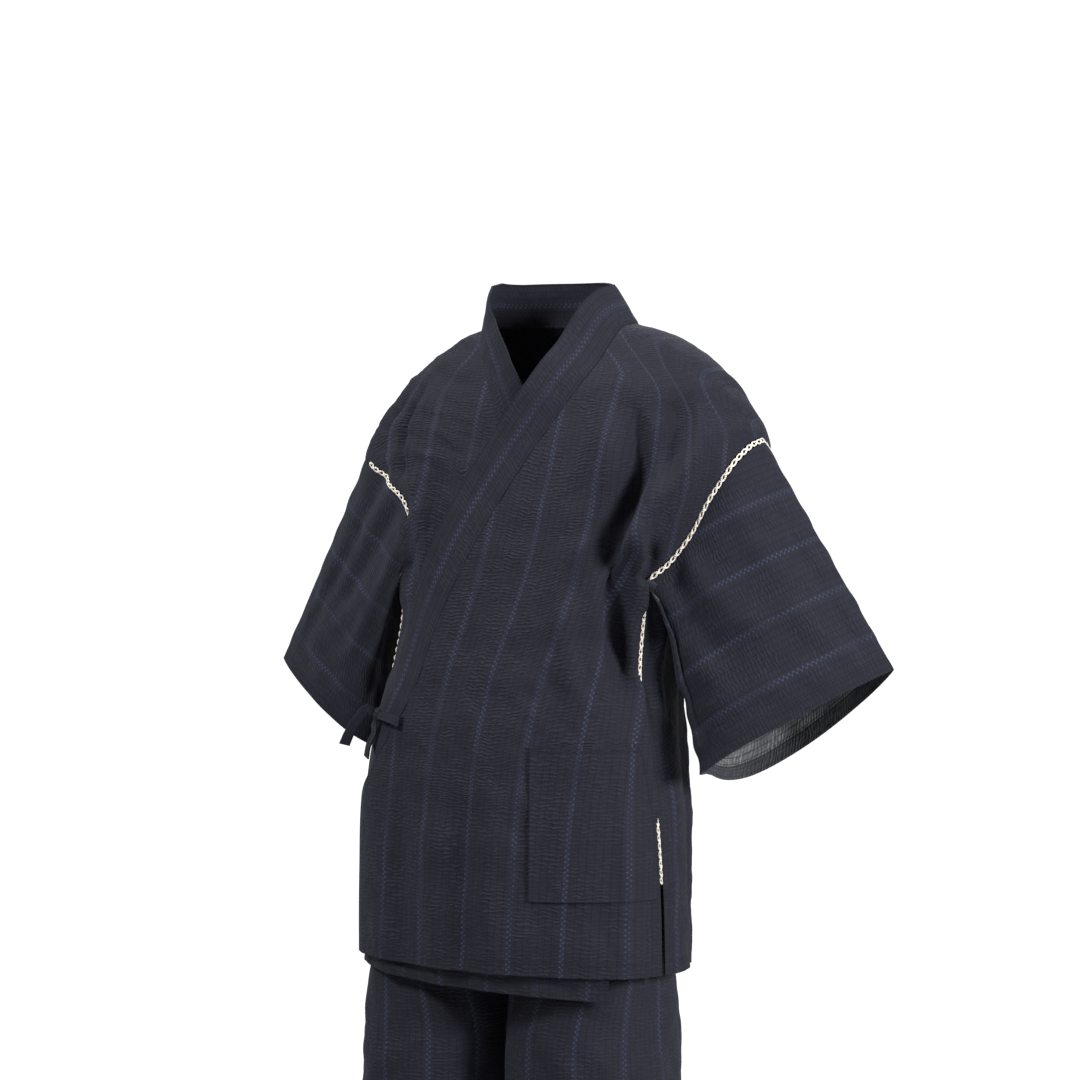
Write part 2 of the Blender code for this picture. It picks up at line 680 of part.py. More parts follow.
def shell(name, sheets, material, merge=False):
    """A closed wall between two sheets of points: a grid whose faces are extruded, then moved into place."""
    rows, columns = sheets[0].shape[:2]
    outer, inner = (sheet.reshape(-1, 3) for sheet in sheets)
    mesh = bmesh.new()
    bmesh.ops.create_grid(mesh, x_segments=columns - 1, y_segments=rows - 1, size=1)
    place = mesh.verts.layers.int.new("place")
    for vertex in mesh.verts:
        row = round((vertex.co.y + 1) / 2 * (rows - 1))
        vertex[place] = row * columns + round((vertex.co.x + 1) / 2 * (columns - 1))
    if merge:
        first = {vertex[place]: vertex for vertex in mesh.verts if vertex[place] % columns == 0}
        last = [vertex for vertex in mesh.verts if vertex[place] % columns == columns - 1]
        targets = {vertex: first[vertex[place] - columns + 1] for vertex in last}
        bmesh.ops.weld_verts(mesh, targetmap=targets)
    for vertex in mesh.verts:
        vertex.co = Vector(outer[vertex[place]])
    extruded = bmesh.ops.extrude_face_region(mesh, geom=mesh.faces[:], use_keep_orig=True)["geom"]
    for vertex in extruded:
        if isinstance(vertex, bmesh.types.BMVert):
            vertex.co = Vector(inner[vertex[place]])
    return add(name, mesh, material)


def add(name, mesh, material):
    bmesh.ops.triangulate(mesh, faces=mesh.faces[:], quad_method="LONG_EDGE")
    bmesh.ops.recalc_face_normals(mesh, faces=mesh.faces)
    if mesh.calc_volume(signed=True) < 0:
        bmesh.ops.reverse_faces(mesh, faces=mesh.faces)
    data = bpy.data.meshes.new(name)
    mesh.to_mesh(data)
    mesh.free()
    data.shade_smooth()
    data.set_sharp_from_angle(angle=math.radians(50))
    data.materials.append(material)
    piece = bpy.data.objects.new(name, data)
    bpy.data.collections["jinbei_set"].objects.link(piece)
    return piece


def cloth(name, colour, roughness):
    material = bpy.data.materials.new(name)
    material.use_nodes = True
    shader = material.node_tree.nodes["Principled BSDF"]
    shader.inputs["Base Color"].default_value = colour
    shader.inputs["Roughness"].default_value = roughness
    material.diffuse_color = colour
    return material


def clear_scene():
    for piece in list(bpy.data.objects):
        bpy.data.objects.remove(piece)
    bpy.context.scene.collection.children.link(bpy.data.collections.new("jinbei_set"))


def main():
    clear_scene()
    indigo = cloth("indigo_cotton", INDIGO, 0.85)
    cream = cloth("cream_braid", CREAM, 0.70)
    for side in (1, -1):
        for face, ahead in (("front", True), ("back", False)):
            shell(f"{face}_{half(side)}", body_panel(side, ahead), indigo)
            shell(f"sleeve_{face}_{half(side)}", sleeve(side, ahead), indigo)
            shell(f"trouser_{face}_{half(side)}", leg(side, ahead), indigo)
        shell(f"armhole_braid_{half(side)}", armhole_braid(side), cream)
        shell(f"side_braid_{half(side)}", side_braid(side), cream)
    for name, sheets in collar_parts():
        shell(f"collar_{name}", sheets, indigo)
    shell("pocket", pocket(), indigo)
    knot(indigo)
    shell("tie_loop", tie_loop(), indigo)
    shell("tie_from_side", tie_from_side(), indigo)
    shell("tie_end_lower", tie_end(TIE_END_LOWER, edge_on=False), indigo)
    shell("tie_end_upper", tie_end(TIE_END_UPPER, edge_on=True), indigo)
    shell("trouser_waistband", waistband(), indigo, merge=True)


main()
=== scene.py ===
"""Looks of the jinbei set: crinkled indigo cotton with blue zigzag stripes, cream braid, bow and pocket.

Everything is in metres in the part's own frame: +Z is up, the wearer faces -Y and the wearer's left is +X.
Each panel is a grid laid on the form that the part's solid has, with finer creases, hems and a cloth map
whose U runs across the stripes and whose V runs along them, both in metres of flat cloth.
"""

import math

import bpy
import numpy as np
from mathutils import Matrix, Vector


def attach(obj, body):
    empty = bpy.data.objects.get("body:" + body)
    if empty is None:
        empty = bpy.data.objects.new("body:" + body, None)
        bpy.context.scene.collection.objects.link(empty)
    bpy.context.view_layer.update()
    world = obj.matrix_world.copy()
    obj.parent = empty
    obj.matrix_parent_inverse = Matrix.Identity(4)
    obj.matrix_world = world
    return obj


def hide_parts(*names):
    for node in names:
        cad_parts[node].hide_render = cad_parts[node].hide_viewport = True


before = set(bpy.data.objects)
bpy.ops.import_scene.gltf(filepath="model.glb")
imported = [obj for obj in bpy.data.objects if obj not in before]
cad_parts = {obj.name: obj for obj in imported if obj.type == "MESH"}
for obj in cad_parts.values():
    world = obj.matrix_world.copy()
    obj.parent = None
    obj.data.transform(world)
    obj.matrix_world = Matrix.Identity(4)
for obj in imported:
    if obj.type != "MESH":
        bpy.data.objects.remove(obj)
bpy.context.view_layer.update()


# Camera and room

CAMERA_TURN = math.radians(26)  # towards the wearer's left
CAMERA_AWAY = 3.7
CAMERA_HEIGHT = -0.20
CAMERA_ASIDE = -0.024
FRAME_WIDTH = 1.2852  # what the square picture spans where the garment stands
FRAME_RISE = -0.056  # the picture's middle against the camera's height, at the garment
SENSOR = 36  # millimetres
FLOOR = -1.42
FLOOR_RADIUS = 2.2
PAPER_GREY = 0.45
AIR_LIGHT = 0.25
AIR_SEEN = 1.1  # what the camera sees of the same air

# Name, place, aim, size and power
LAMPS = (
    ("key_softbox", (-1.6, -2.6, 2.2), (0, 0, -0.3), (0.9, 0.9), 140),
    ("fill_softbox", (3.7, -0.7, 0.6), (0, 0, -0.45), (1.2, 1.2), 215),
    ("top_softbox", (-0.8, -0.6, 2.8), (0, 0, -0.3), (1.2, 1.2), 75),
    ("back_softbox", (-0.9, 3.4, 1.5), (0, 0.6, -0.5), (2.6, 2.2), 40),
)


def set_camera():
    right = Vector((math.cos(CAMERA_TURN), math.sin(CAMERA_TURN), 0))
    target = right * CAMERA_ASIDE + Vector((0, 0, CAMERA_HEIGHT))
    away = Vector((math.sin(CAMERA_TURN), -math.cos(CAMERA_TURN), 0))
    lens = bpy.data.cameras.new("photo_camera")
    lens.sensor_width = SENSOR
    lens.lens = SENSOR * CAMERA_AWAY / FRAME_WIDTH
    lens.shift_y = FRAME_RISE / FRAME_WIDTH
    camera = bpy.data.objects.new("photo_camera", lens)
    camera.location = target + away * CAMERA_AWAY
    camera.rotation_euler = (-away).to_track_quat("-Z", "Y").to_euler()
    bpy.context.scene.collection.objects.link(camera)
    bpy.context.scene.camera = camera


def lamp(name, place, aim, size, power):
    light = bpy.data.lights.new(name, "AREA")
    light.shape = "RECTANGLE"
    light.size, light.size_y = size
    light.energy = power
    holder = bpy.data.objects.new(name, light)
    holder.location = place
    holder.rotation_euler = (Vector(aim) - Vector(place)).to_track_quat("-Z", "Y").to_euler()
    bpy.context.scene.collection.objects.link(holder)


def set_room():
    """A floor below the picture, soft lamps and white air that lights less than it shows."""
    bpy.ops.object.select_all(action="DESELECT")
    place = (0, 0, FLOOR)
    bpy.ops.mesh.primitive_circle_add(vertices=64, radius=FLOOR_RADIUS, fill_type="NGON", location=place)
    floor = bpy.context.object
    floor.name = "studio_floor"
    paper = bpy.data.materials.new("studio_paper")
    paper.use_nodes = True
    shader = paper.node_tree.nodes["Principled BSDF"]
    shader.inputs["Base Color"].default_value = (PAPER_GREY, PAPER_GREY, PAPER_GREY, 1)
    shader.inputs["Roughness"].default_value = 0.9
    floor.data.materials.append(paper)
    for row in LAMPS:
        lamp(*row)
    world = bpy.data.worlds.new("studio_air")
    world.use_nodes = True
    nodes, links = world.node_tree.nodes, world.node_tree.links
    air = nodes["Background"]
    air.inputs["Color"].default_value = (1, 1, 1, 1)
    seen = nodes.new("ShaderNodeLightPath")
    level = nodes.new("ShaderNodeMath")
    level.operation = "MULTIPLY_ADD"
    level.inputs[1].default_value = AIR_SEEN - AIR_LIGHT
    level.inputs[2].default_value = AIR_LIGHT
    links.new(seen.outputs["Is Camera Ray"], level.inputs[0])
    links.new(level.outputs[0], air.inputs["Strength"])
    bpy.context.scene.world = world
    bpy.context.scene.view_settings.view_transform = "Standard"


# Sizes and form, as in the part's source

# Cloth and seams
WALL = 0.0016  # one layer of crinkled cotton with its air
COLLAR_WALL = 0.0024  # the collar is folded double
SEAM = 0.0003  # between pieces that are sewn together
BRAID_WIDTH = 0.0080  # openwork braid at the armholes
SIDE_BRAID_WIDTH = 0.0052  # the same braid, pressed narrower, at the side seams
BRAID_START = -0.236  # its ends as stations on an armhole, the first counted backwards from the shoulder
BRAID_END = {1: 0.400, -1: 0.285}
OVERLAP_LIFT = 0.0080  # how far the left front stands off over the right one and its collar

# Jacket
HEM = -0.754
FRONT_HEM = {1: -0.744, -1: -0.780}  # at the front edges: the left front rises, the right one droops
NECK = 0.0
SIDE_TOP = -0.297  # where the side seams meet the armholes
SIDE_STATION = 0.41  # the same place, as a station on the armhole
ARMHOLE_ROUND = 0.62  # length round an armhole
CHEST = -0.265  # the level of the front edge beside that place
BACK_CHEST = -0.360
COLLAR_WIDTH = 0.054
COLLAR_END = -0.515
BACK_LEAN = 30.0  # degrees that the collar stands up behind the neck
FRONT_EDGE = {1: math.radians(-60), -1: math.radians(46)}  # below the collar, left and right front
POCKET_TOP = -0.490
POCKET_BOTTOM = -0.665
POCKET_EDGE = math.radians(17)
POCKET_STAND = 0.0010  # its cloth bows out a little from the front under it
GIRTH_RADIUS = 0.170  # turns an angle on the body into a length round it
KNOT = (math.radians(-47), -0.465)  # where the outer ties are bowed
TIE_WIDTH = 0.015
KNOT_SIZE = (0.0130, 0.0110, 0.0160)  # round the body, outwards and up
TIE_STAND = 0.0069  # the knot's middle over the front
LOOP_LENGTH = 0.042
LOOP_HEIGHT = 0.0030

# Trousers
WAIST = -0.400
WAISTBAND_HEIGHT = 0.036
CROTCH = -0.845
CROTCH_CURVE = 0.190
LEG_HEM = -1.130
LEG_GAP = 0.010  # half the gap between the legs at their hems

COLLAR_ROW = 6  # the row of a front where the collar ends, of the SIDE_ROWS to the armhole
SIDE_ROWS = 13
SLIT_ROW = 3  # the row where the slits of the sides end
NECK_ROWS = 5  # from the neck's side to its back, of the BACK_ARM_ROWS
BACK_ARM_ROWS = 15


def table(columns, *rows):
    """A dictionary of named columns, from rows of numbers."""
    return dict(zip(columns.split(), np.array(rows, float).T))


# The rounded rings of the jacket body; corner is 2 for an ellipse and more for a squarer ring
JACKET = table(
    "height half_width front back centre_x centre_y corner",
    (-0.8, 0.202, 0.138, 0.132, -0.031, -0.024, 2.3),
    (-0.65, 0.202, 0.137, 0.128, -0.031, -0.024, 2.3),
    (-0.56, 0.2, 0.136, 0.125, -0.031, -0.022, 2.3),
    (-0.48, 0.19, 0.133, 0.12, -0.029, -0.018, 2.3),
    (-0.4, 0.178, 0.129, 0.117, -0.021, -0.011, 2.35),
    (-0.335, 0.184, 0.127, 0.122, -0.009, -0.004, 2.4),
    (-0.27, 0.21, 0.125, 0.128, 0, 0.002, 2.45),
    (-0.21, 0.241, 0.12, 0.13, 0.002, 0.006, 2.45),
    (-0.16, 0.254, 0.112, 0.127, 0.003, 0.008, 2.4),
    (-0.13, 0.25, 0.104, 0.121, 0.003, 0.008, 2.35),
    (-0.088, 0.225, 0.092, 0.109, 0.005, 0.008, 2.25),
    (-0.056, 0.198, 0.079, 0.097, 0.006, 0.008, 2.15),
    (-0.03, 0.165, 0.066, 0.085, 0.006, 0.008, 2.1),
    (-0.012, 0.131, 0.055, 0.074, 0.003, 0.008, 2.05),
    (0, 0.094, 0.046, 0.066, 0, 0.008, 2),
)

# How far across the seams between the fronts and the collar lie
COLLAR_SEAM = table(
    "height left right",
    (-0.515, -0.176, 0.076),
    (-0.45, -0.13, 0.068),
    (-0.333, -0.085, 0.038),
    (-0.231, -0.031, 0.006),
    (-0.165, 0.01, -0.018),
    (-0.128, 0.034, -0.033),
    (-0.092, 0.057, -0.049),
    (-0.054, 0.078, -0.068),
    (-0.02, 0.089, -0.086),
    (0, 0.094, -0.094),
)

# How far the collar turns up from lying on the body, at its seam; behind the neck it stands
COLLAR_LEAN = table(
    "height left right",
    (-0.23, 0, 0),
    (-0.165, 8, 0),
    (-0.128, 17, 8),
    (-0.092, 20, 26),
    (-0.054, 20, 36),
    (-0.02, 30, 46),
    (0, 44, 58),
)

SIDE_SEAM = table(
    "height left right",
    (-0.8, 75, 78),
    (-0.62, 72, 76),
    (-0.56, 69.5, 74),
    (-0.5, 66.5, 71.5),
    (-0.45, 64.5, 69),
    (-0.4, 62, 66),
    (-0.35, 57, 61),
    (-0.297, 48.5, 56),
)

# Station 0 of an armhole is the shoulder and 0.5 is under the arm, by way of the front
ARMHOLE = {
    1: table(
        "station angle height",
        (0, 90, -0.135),
        (0.06, 78, -0.142),
        (0.13, 66, -0.164),
        (0.2, 59, -0.203),
        (0.28, 57.5, -0.248),
        (0.35, 54, -0.276),
        (0.41, 48.5, -0.297),
        (0.5, 63, -0.32),
        (0.6, 86, -0.328),
        (0.7, 105, -0.302),
        (0.8, 112, -0.25),
        (0.88, 110, -0.195),
        (0.94, 101, -0.156),
        (1, 90, -0.135),
    ),
    -1: table(
        "station angle height",
        (0, 90, -0.133),
        (0.05, 77, -0.143),
        (0.1, 61, -0.167),
        (0.15, 48, -0.185),
        (0.2, 39, -0.202),
        (0.25, 36, -0.225),
        (0.31, 38, -0.255),
        (0.36, 46, -0.282),
        (0.41, 56, -0.297),
        (0.5, 74, -0.318),
        (0.6, 92, -0.327),
        (0.7, 106, -0.302),
        (0.8, 112, -0.25),
        (0.88, 110, -0.195),
        (0.94, 101, -0.157),
        (1, 90, -0.133),
    ),
}

# Folds of the jacket body: angle in degrees and height of both ends, bow, width and rise, negative for a trough
FOLDS = np.array(
    (
        (56, -0.08, 20, -0.255, 0.008, 0.02, -0.013),
        (54, -0.135, 34, -0.3, 0.012, 0.017, 0.011),
        (42, -0.25, 56, -0.44, 0.016, 0.018, -0.011),
        (70, -0.345, 76, -0.48, 0.004, 0.016, 0.01),
        (-62, -0.075, -52, -0.195, -0.004, 0.017, -0.014),
        (-30, -0.5, -22, -0.79, 0, 0.028, -0.006),
        (20, -0.34, 4, -0.79, 0.01, 0.034, 0.005),
        (60, -0.56, 52, -0.8, 0, 0.026, 0.006),
        (120, -0.12, 134, -0.33, 0.01, 0.022, 0.011),
        (136, -0.1, 152, -0.4, 0.008, 0.024, -0.01),
        (-120, -0.12, -134, -0.33, -0.01, 0.022, 0.011),
        (-136, -0.1, -150, -0.42, -0.008, 0.024, -0.01),
        (98, -0.4, 110, -0.79, 0, 0.028, -0.009),
        (134, -0.42, 128, -0.8, 0, 0.032, 0.008),
        (-100, -0.4, -108, -0.79, 0, 0.028, -0.009),
        (-130, -0.43, -134, -0.8, 0, 0.032, 0.008),
    )
)

# The free ends of the bow: offsets from the knot to the wearer's left, upwards and outwards
TIE_END_UPPER = table(
    "right rise out",
    (0, 0.002, 0.0059),
    (-0.001, 0.0045, 0.015),
    (-0.004, -0.009, 0.022),
    (-0.008, -0.025, 0.027),
    (-0.012, -0.039, 0.029),
)
TIE_END_LOWER = table(
    "right rise out",
    (-0.001, -0.0077, 0.0008),
    (-0.003, -0.02, -0.001),
    (-0.009, -0.034, 0.001),
    (-0.013, -0.05, 0),
)

# The tie between the right side seam and the knot, in the same way: it climbs over the collar's edge
TIE_FROM_SIDE = table(
    "right rise out",
    (-0.064, 0.006, -0.013),
    (-0.053, 0.004, -0.0125),
    (-0.043, 0.002, -0.008),
    (-0.033, 0.001, -0.0042),
    (-0.019, 0, -0.0042),
    (-0.0052, 0, -0.0042),
)

# The flattened mouth of each sleeve, given as on the left arm
CUFF = {
    1: {"top": (0.411, 0.022, -0.401), "bottom": (0.200, -0.020, -0.524), "depth": 0.160, "droop": 0.026},
    -1: {"top": (0.403, 0.036, -0.407), "bottom": (0.246, 0.030, -0.512), "depth": 0.120, "droop": 0.010},
}

TROUSERS = table(
    "height half_width front back centre_x centre_y corner",
    (-1.14, 0.198, 0.118, 0.12, -0.042, -0.01, 2.2),
    (-1, 0.195, 0.12, 0.122, -0.042, -0.014, 2.2),
    (-0.845, 0.19, 0.12, 0.122, -0.041, -0.02, 2.2),
    (-0.76, 0.186, 0.115, 0.114, -0.039, -0.023, 2.2),
    (-0.64, 0.18, 0.109, 0.108, -0.036, -0.023, 2.2),
    (-0.54, 0.172, 0.104, 0.1, -0.032, -0.02, 2.2),
    (-0.4, 0.148, 0.096, 0.09, -0.022, -0.01, 2.2),
    (-0.36, 0.147, 0.095, 0.089, -0.02, -0.009, 2.2),
)


def smooth(at, stations, values):
    """Reads a smooth curve through the values at the given stations."""
    at = np.clip(at, stations[0], stations[-1])
    slopes = np.gradient(values, stations)
    low = np.clip(np.searchsorted(stations, at) - 1, 0, len(stations) - 2)
    span = stations[low + 1] - stations[low]
    t = (at - stations[low]) / span
    rise = t * t * (3 - 2 * t)
    bend = span * (t * (1 - t) ** 2 * slopes[low] - t * t * (1 - t) * slopes[low + 1])
    return values[low] * (1 - rise) + values[low + 1] * rise + bend


def column(rows, name, at, key="height"):
    return smooth(at, rows[key], rows[name])


def step(value, low, high):
    """0 below low and 1 above high, with a smooth rise between them."""
    t = np.clip((value - low) / (high - low), 0, 1)
    return t * t * (3 - 2 * t)


def mix(first, second, share):
    return first * (1 - share) + second * share


def unit(vectors):
    return vectors / np.linalg.norm(vectors, axis=-1, keepdims=True)


def power(value, exponent):
    return np.sign(value) * np.abs(value) ** exponent


def ring(rows, angle, height):
    """A point on the rounded rings of a table."""
    part = {name: column(rows, name, height) for name in rows if name != "height"}
    across, ahead = np.sin(angle), np.cos(angle)
    depth = np.where(ahead > 0, part["front"], part["back"])
    x = part["centre_x"] + part["half_width"] * power(across, 2 / part["corner"])
    y = part["centre_y"] - depth * power(ahead, 2 / part["corner"])
    return np.stack([x, y, height + 0 * x], -1)


def ring_normal(rows, angle, height, top):
    turn, rise = 0.02, 0.004
    high = np.minimum(height + rise, top)
    round_ring = ring(rows, angle + turn, height) - ring(rows, angle - turn, height)
    up_ring = ring(rows, angle, high) - ring(rows, angle, high - 2 * rise)
    return unit(np.cross(round_ring, up_ring))


def crease_rise(rows, x, y, past=0.15, fading=0.70):
    """How far creases move the cloth out, at places given in metres on it.

    Each row is a crease's x and y at both ends, its bow, width and rise. It runs on past its ends by a share
    of its length, and fades from a share of it on.
    """
    total = np.zeros(np.shape(x + y))
    for x_1, y_1, x_2, y_2, bow, width, rise in rows:
        line = np.array([x_2 - x_1, y_2 - y_1])
        length = np.linalg.norm(line)
        line = line / length
        along = ((x - x_1) * line[0] + (y - y_1) * line[1]) / length
        across = (x - x_1) * line[1] - (y - y_1) * line[0] - bow * 4 * along * (1 - along)
        ends = step(along, -past, 0.25) * (1 - step(along, fading, 1 + past))
        total += rise * ends * np.exp(-((across / width) ** 2))
    return total


def fold_rise(angle, height):
    """How far the folds move the cloth out at a place on the jacket body."""
    wrapped = (angle + math.pi) % (2 * math.pi) - math.pi
    rows = FOLDS.copy()
    rows[:, [0, 2]] = np.radians(rows[:, [0, 2]]) * GIRTH_RADIUS
    return crease_rise(rows, wrapped * GIRTH_RADIUS, height, past=0.10, fading=0.75)


def body(angle, height, out=0.0):
    """A point of the jacket body's outer surface, moved out by a distance."""
    angle, height, out = np.broadcast_arrays(angle, height, np.asarray(out, float))
    moved = (fold_rise(angle, height) + out)[..., None]
    return ring(JACKET, angle, height) + ring_normal(JACKET, angle, height, NECK) * moved


def metric(angle, height):
    """Metres on the jacket body for one radian round it, and for one metre of height."""
    turn, rise = 0.01, 0.002
    low = np.minimum(height, NECK - rise)
    round_ring = ring(JACKET, angle + turn, height) - ring(JACKET, angle - turn, height)
    up_ring = ring(JACKET, angle, low + rise) - ring(JACKET, angle, low)
    return np.linalg.norm(round_ring, axis=-1) / (2 * turn), np.linalg.norm(up_ring, axis=-1) / rise


def half(side):
    return "left" if side > 0 else "right"


def seam_angle(height, side):
    """The angle of the seam between a front and the collar, or of the front's edge below the collar."""
    at = np.clip(height, COLLAR_END, NECK)
    share = column(COLLAR_SEAM, half(side), at) - column(JACKET, "centre_x", at)
    share = share / column(JACKET, "half_width", at)
    on_seam = np.arcsin(np.clip(power(share, column(JACKET, "corner", at) / 2), -1, 1))
    return mix(FRONT_EDGE[side], on_seam, step(height, COLLAR_END - 0.045, COLLAR_END + 0.005))


def overlap_lift(angle, height, side):
    """How far the left front stands off where the right front or its collar may lie under it."""
    if side < 0:
        return 0 * (angle + height)
    below_neck = 1 - step(height, -0.085, -0.030)
    before_side = 1 - step(angle, math.radians(36), math.radians(66))
    return OVERLAP_LIFT * below_neck * before_side


def outer_edge(way, side):
    """Side seam up to the armhole, round it over the shoulder, and down the side seam at the back.

    The way is 0 to 1 along the front of the side seam, 2 at the shoulder and 3 to 4 at the back.
    """
    parting = SIDE_BRAID_WIDTH / 2 + SEAM
    on_loop = parting / ARMHOLE_ROUND
    front_height = mix(HEM, SIDE_TOP, np.clip(way, 0, 1))
    back_height = mix(SIDE_TOP, HEM, np.clip(way - 3, 0, 1))
    front = mix(SIDE_STATION - on_loop, 0, np.clip(way - 1, 0, 1))
    station = np.where(way < 2, front, mix(1, SIDE_STATION + on_loop, np.clip(way - 2, 0, 1)))
    loop = (way > 1) & (way < 3)
    height = np.where(way <= 1, front_height, back_height)
    angle = np.radians(column(SIDE_SEAM, half(side), height))
    angle = angle + np.where(way <= 1, -1, 1) * parting / GIRTH_RADIUS
    angle = np.where(loop, np.radians(column(ARMHOLE[side], "angle", station, "station")), angle)
    height = np.where(loop, column(ARMHOLE[side], "height", station, "station"), height)
    return side * angle, height


def inner_edge(way, side):
    """Front edge and collar seam up to the neck, back of the neck, and down the centre of the back."""
    at_end = COLLAR_ROW / SIDE_ROWS
    height = mix(FRONT_HEM[side], COLLAR_END, np.clip(way / at_end, 0, 1))
    on_collar = mix(COLLAR_END, CHEST, np.clip((way - at_end) / (1 - at_end), 0, 1))
    height = np.where(way > at_end, on_collar, height)
    height = np.where(way > 1, mix(CHEST, NECK, np.clip(way - 1, 0, 1) ** 0.8), height)
    angle = seam_angle(height, side)
    back = math.pi - SEAM / 2 / GIRTH_RADIUS
    at_back = NECK_ROWS / BACK_ARM_ROWS
    round_back = side * mix(math.pi / 2, back, np.clip((way - 2) / at_back, 0, 1))
    down_back = mix(NECK, BACK_CHEST, np.clip((way - 2 - at_back) / (1 - at_back), 0, 1))
    down_back = np.where(way > 3, mix(BACK_CHEST, HEM, np.clip(way - 3, 0, 1)), down_back)
    return np.where(way > 2, round_back, angle), np.where(way > 2, down_back, height)


def armhole(side, station):
    angle = side * np.radians(column(ARMHOLE[side], "angle", station, "station"))
    return angle, column(ARMHOLE[side], "height", station, "station")


def cuff(side, station):
    """The mouth of a sleeve: pinched along its top fold and round underneath."""
    mouth = CUFF[side]
    top, bottom = np.array(mouth["top"]), np.array(mouth["bottom"])
    turn = 2 * math.pi * station
    down = (1 - np.cos(turn)) / 2
    depth = mouth["depth"] / 2 * power(np.sin(turn), 0.60) * (1.15 * np.sin(turn / 2)) ** 1.1
    points = top + (bottom - top) * down[..., None]
    points[..., 1] -= depth
    points[..., 2] -= mouth["droop"] * np.clip(-2 * depth / mouth["depth"], 0, 1)
    return points * np.array([side, 1, 1])


def arm_place(side, station, run):
    start = body(*armhole(side, station % 1), overlap_lift(*armhole(side, station % 1), side))
    line = cuff(side, station % 1) - start
    return start + line * (run / np.linalg.norm(line, axis=-1))[..., None]


def arm_normal(side, station, run):
    turn, reach = 0.012, 0.006
    round_arm = arm_place(side, station + turn, run) - arm_place(side, station - turn, run)
    along_arm = arm_place(side, station, run + reach) - arm_place(side, station, run - reach)
    return side * unit(np.cross(round_arm, along_arm))


def arm(side, station, run, out=0.0):
    """A point of a sleeve, or of the braid before it, at a distance from the armhole."""
    station, run = np.broadcast_arrays(station, run)
    return arm_place(side, station, run) + arm_normal(side, station, run) * out


def arm_length(side, station):
    angle, height = armhole(side, station)
    return np.linalg.norm(cuff(side, station) - body(angle, height), axis=-1)


def neck_lean(side, height, back):
    """How far the collar turns up from lying on the body, at its seam."""
    lean = np.where(side > 0, column(COLLAR_LEAN, "left", height), column(COLLAR_LEAN, "right", height))
    return np.radians(mix(lean, BACK_LEAN, back))


def collar_seam(ways):
    """The seam's angle and height along the left front, round the neck and down the right front."""
    left_angle, left_height = inner_edge(ways, 1)
    right_angle, right_height = inner_edge(ways, -1)
    angle = np.concatenate([left_angle[:-1], [math.pi], 2 * math.pi + right_angle[-2::-1]])
    height = np.concatenate([left_height, right_height[-2::-1]])
    back = 2 * np.clip(np.minimum(angle, 2 * math.pi - angle) / math.pi, 0.5, 1) - 1
    return angle, height, np.where(height > NECK - 1e-6, back, 0.0)


def collar(ways, across):
    """The collar's outer and inner sides, from its seam to its free edge."""
    angle, height, back = collar_seam(ways)
    side = np.where(angle < math.pi, 1, -1)
    lift = np.where(side > 0, overlap_lift(angle, height, 1), 0.0)
    normal = ring_normal(JACKET, angle, height, NECK)
    seam = body(angle, height, lift)
    along = unit(np.gradient(seam, axis=0))
    inward = unit(np.cross(normal, along))
    lean = neck_lean(side, height, back)[:, None]
    rising = inward * np.cos(lean) + normal * np.sin(lean)
    facing = normal * np.cos(lean) - inward * np.sin(lean)
    round_metre, up_metre = metric(angle, height)
    east = unit(ring(JACKET, angle + 0.01, height) - ring(JACKET, angle - 0.01, height))
    turn_share = (inward * east).sum(-1) / round_metre
    rise_share = (inward * np.cross(normal, east)).sum(-1) / up_metre
    stands = step(height, -0.34, -0.20)[:, None]
    sheets = []
    for out in (0.0008, 0.0008 - COLLAR_WALL):
        strips = []
        for share in np.linspace(SEAM / COLLAR_WIDTH, 1, across):
            width = share * COLLAR_WIDTH
            there = np.minimum(height + rise_share * width, NECK - 0.004)
            lying = body(angle + turn_share * width, there, lift + out)
            standing = seam + rising * width + facing * out
            strips.append(mix(lying, standing, stands))
        sheets.append(np.stack(strips, 1))
    return sheets


def leg(side, share, height):
    """One trouser leg: half of the seat above the crotch and a whole tube below it."""
    height, share = np.broadcast_arrays(height[:, None], share[None, :])
    part = {name: column(TROUSERS, name, height) for name in TROUSERS if name != "height"}
    seat = ring(TROUSERS, side * math.pi * share, height)
    gap = mix(SEAM / 2, LEG_GAP, step(-height, -CROTCH, -LEG_HEM))
    reach = (part["half_width"] - gap) / 2
    turn = math.pi * (1 + 2 * mix(SEAM, 1 - SEAM, share))
    depth = np.where(np.sin(turn) < 0, part["front"], part["back"])
    x = part["centre_x"] + side * (gap + reach * (1 + power(np.cos(turn), 0.9)))
    y = part["centre_y"] + depth * power(np.sin(turn), 0.9)
    tube = np.stack([x, y, height], -1)
    points = mix(seat, tube, (1 - step(height, CROTCH, CROTCH + CROTCH_CURVE))[..., None])
    away = side * (points[..., 0] - part["centre_x"])
    points[..., 0] = part["centre_x"] + side * np.maximum(away, SEAM / 2)
    return points


def by_knot(right, rise, out):
    """A place beside the bow's knot, by distances round the body, up and outwards."""
    return body(KNOT[0] + right / GIRTH_RADIUS, KNOT[1] + rise, OVERLAP_LIFT + TIE_STAND + out)


def tape(path, across, width):
    """A flat tie along a path, with the way across it."""
    across = unit(across + 0 * path) * width / 2
    facing = unit(np.cross(np.gradient(path, axis=0), across))
    outer = np.stack([path - across, path + across], 1)
    return outer, outer - facing[:, None] * WALL


def along_rows(rows, count):
    """Points at even steps along a table of offsets from the knot."""
    at = np.linspace(0, 1, len(rows["out"]))
    steps = np.linspace(0, 1, count)
    return by_knot(*(smooth(steps, at, rows[name]) for name in ("right", "rise", "out")))


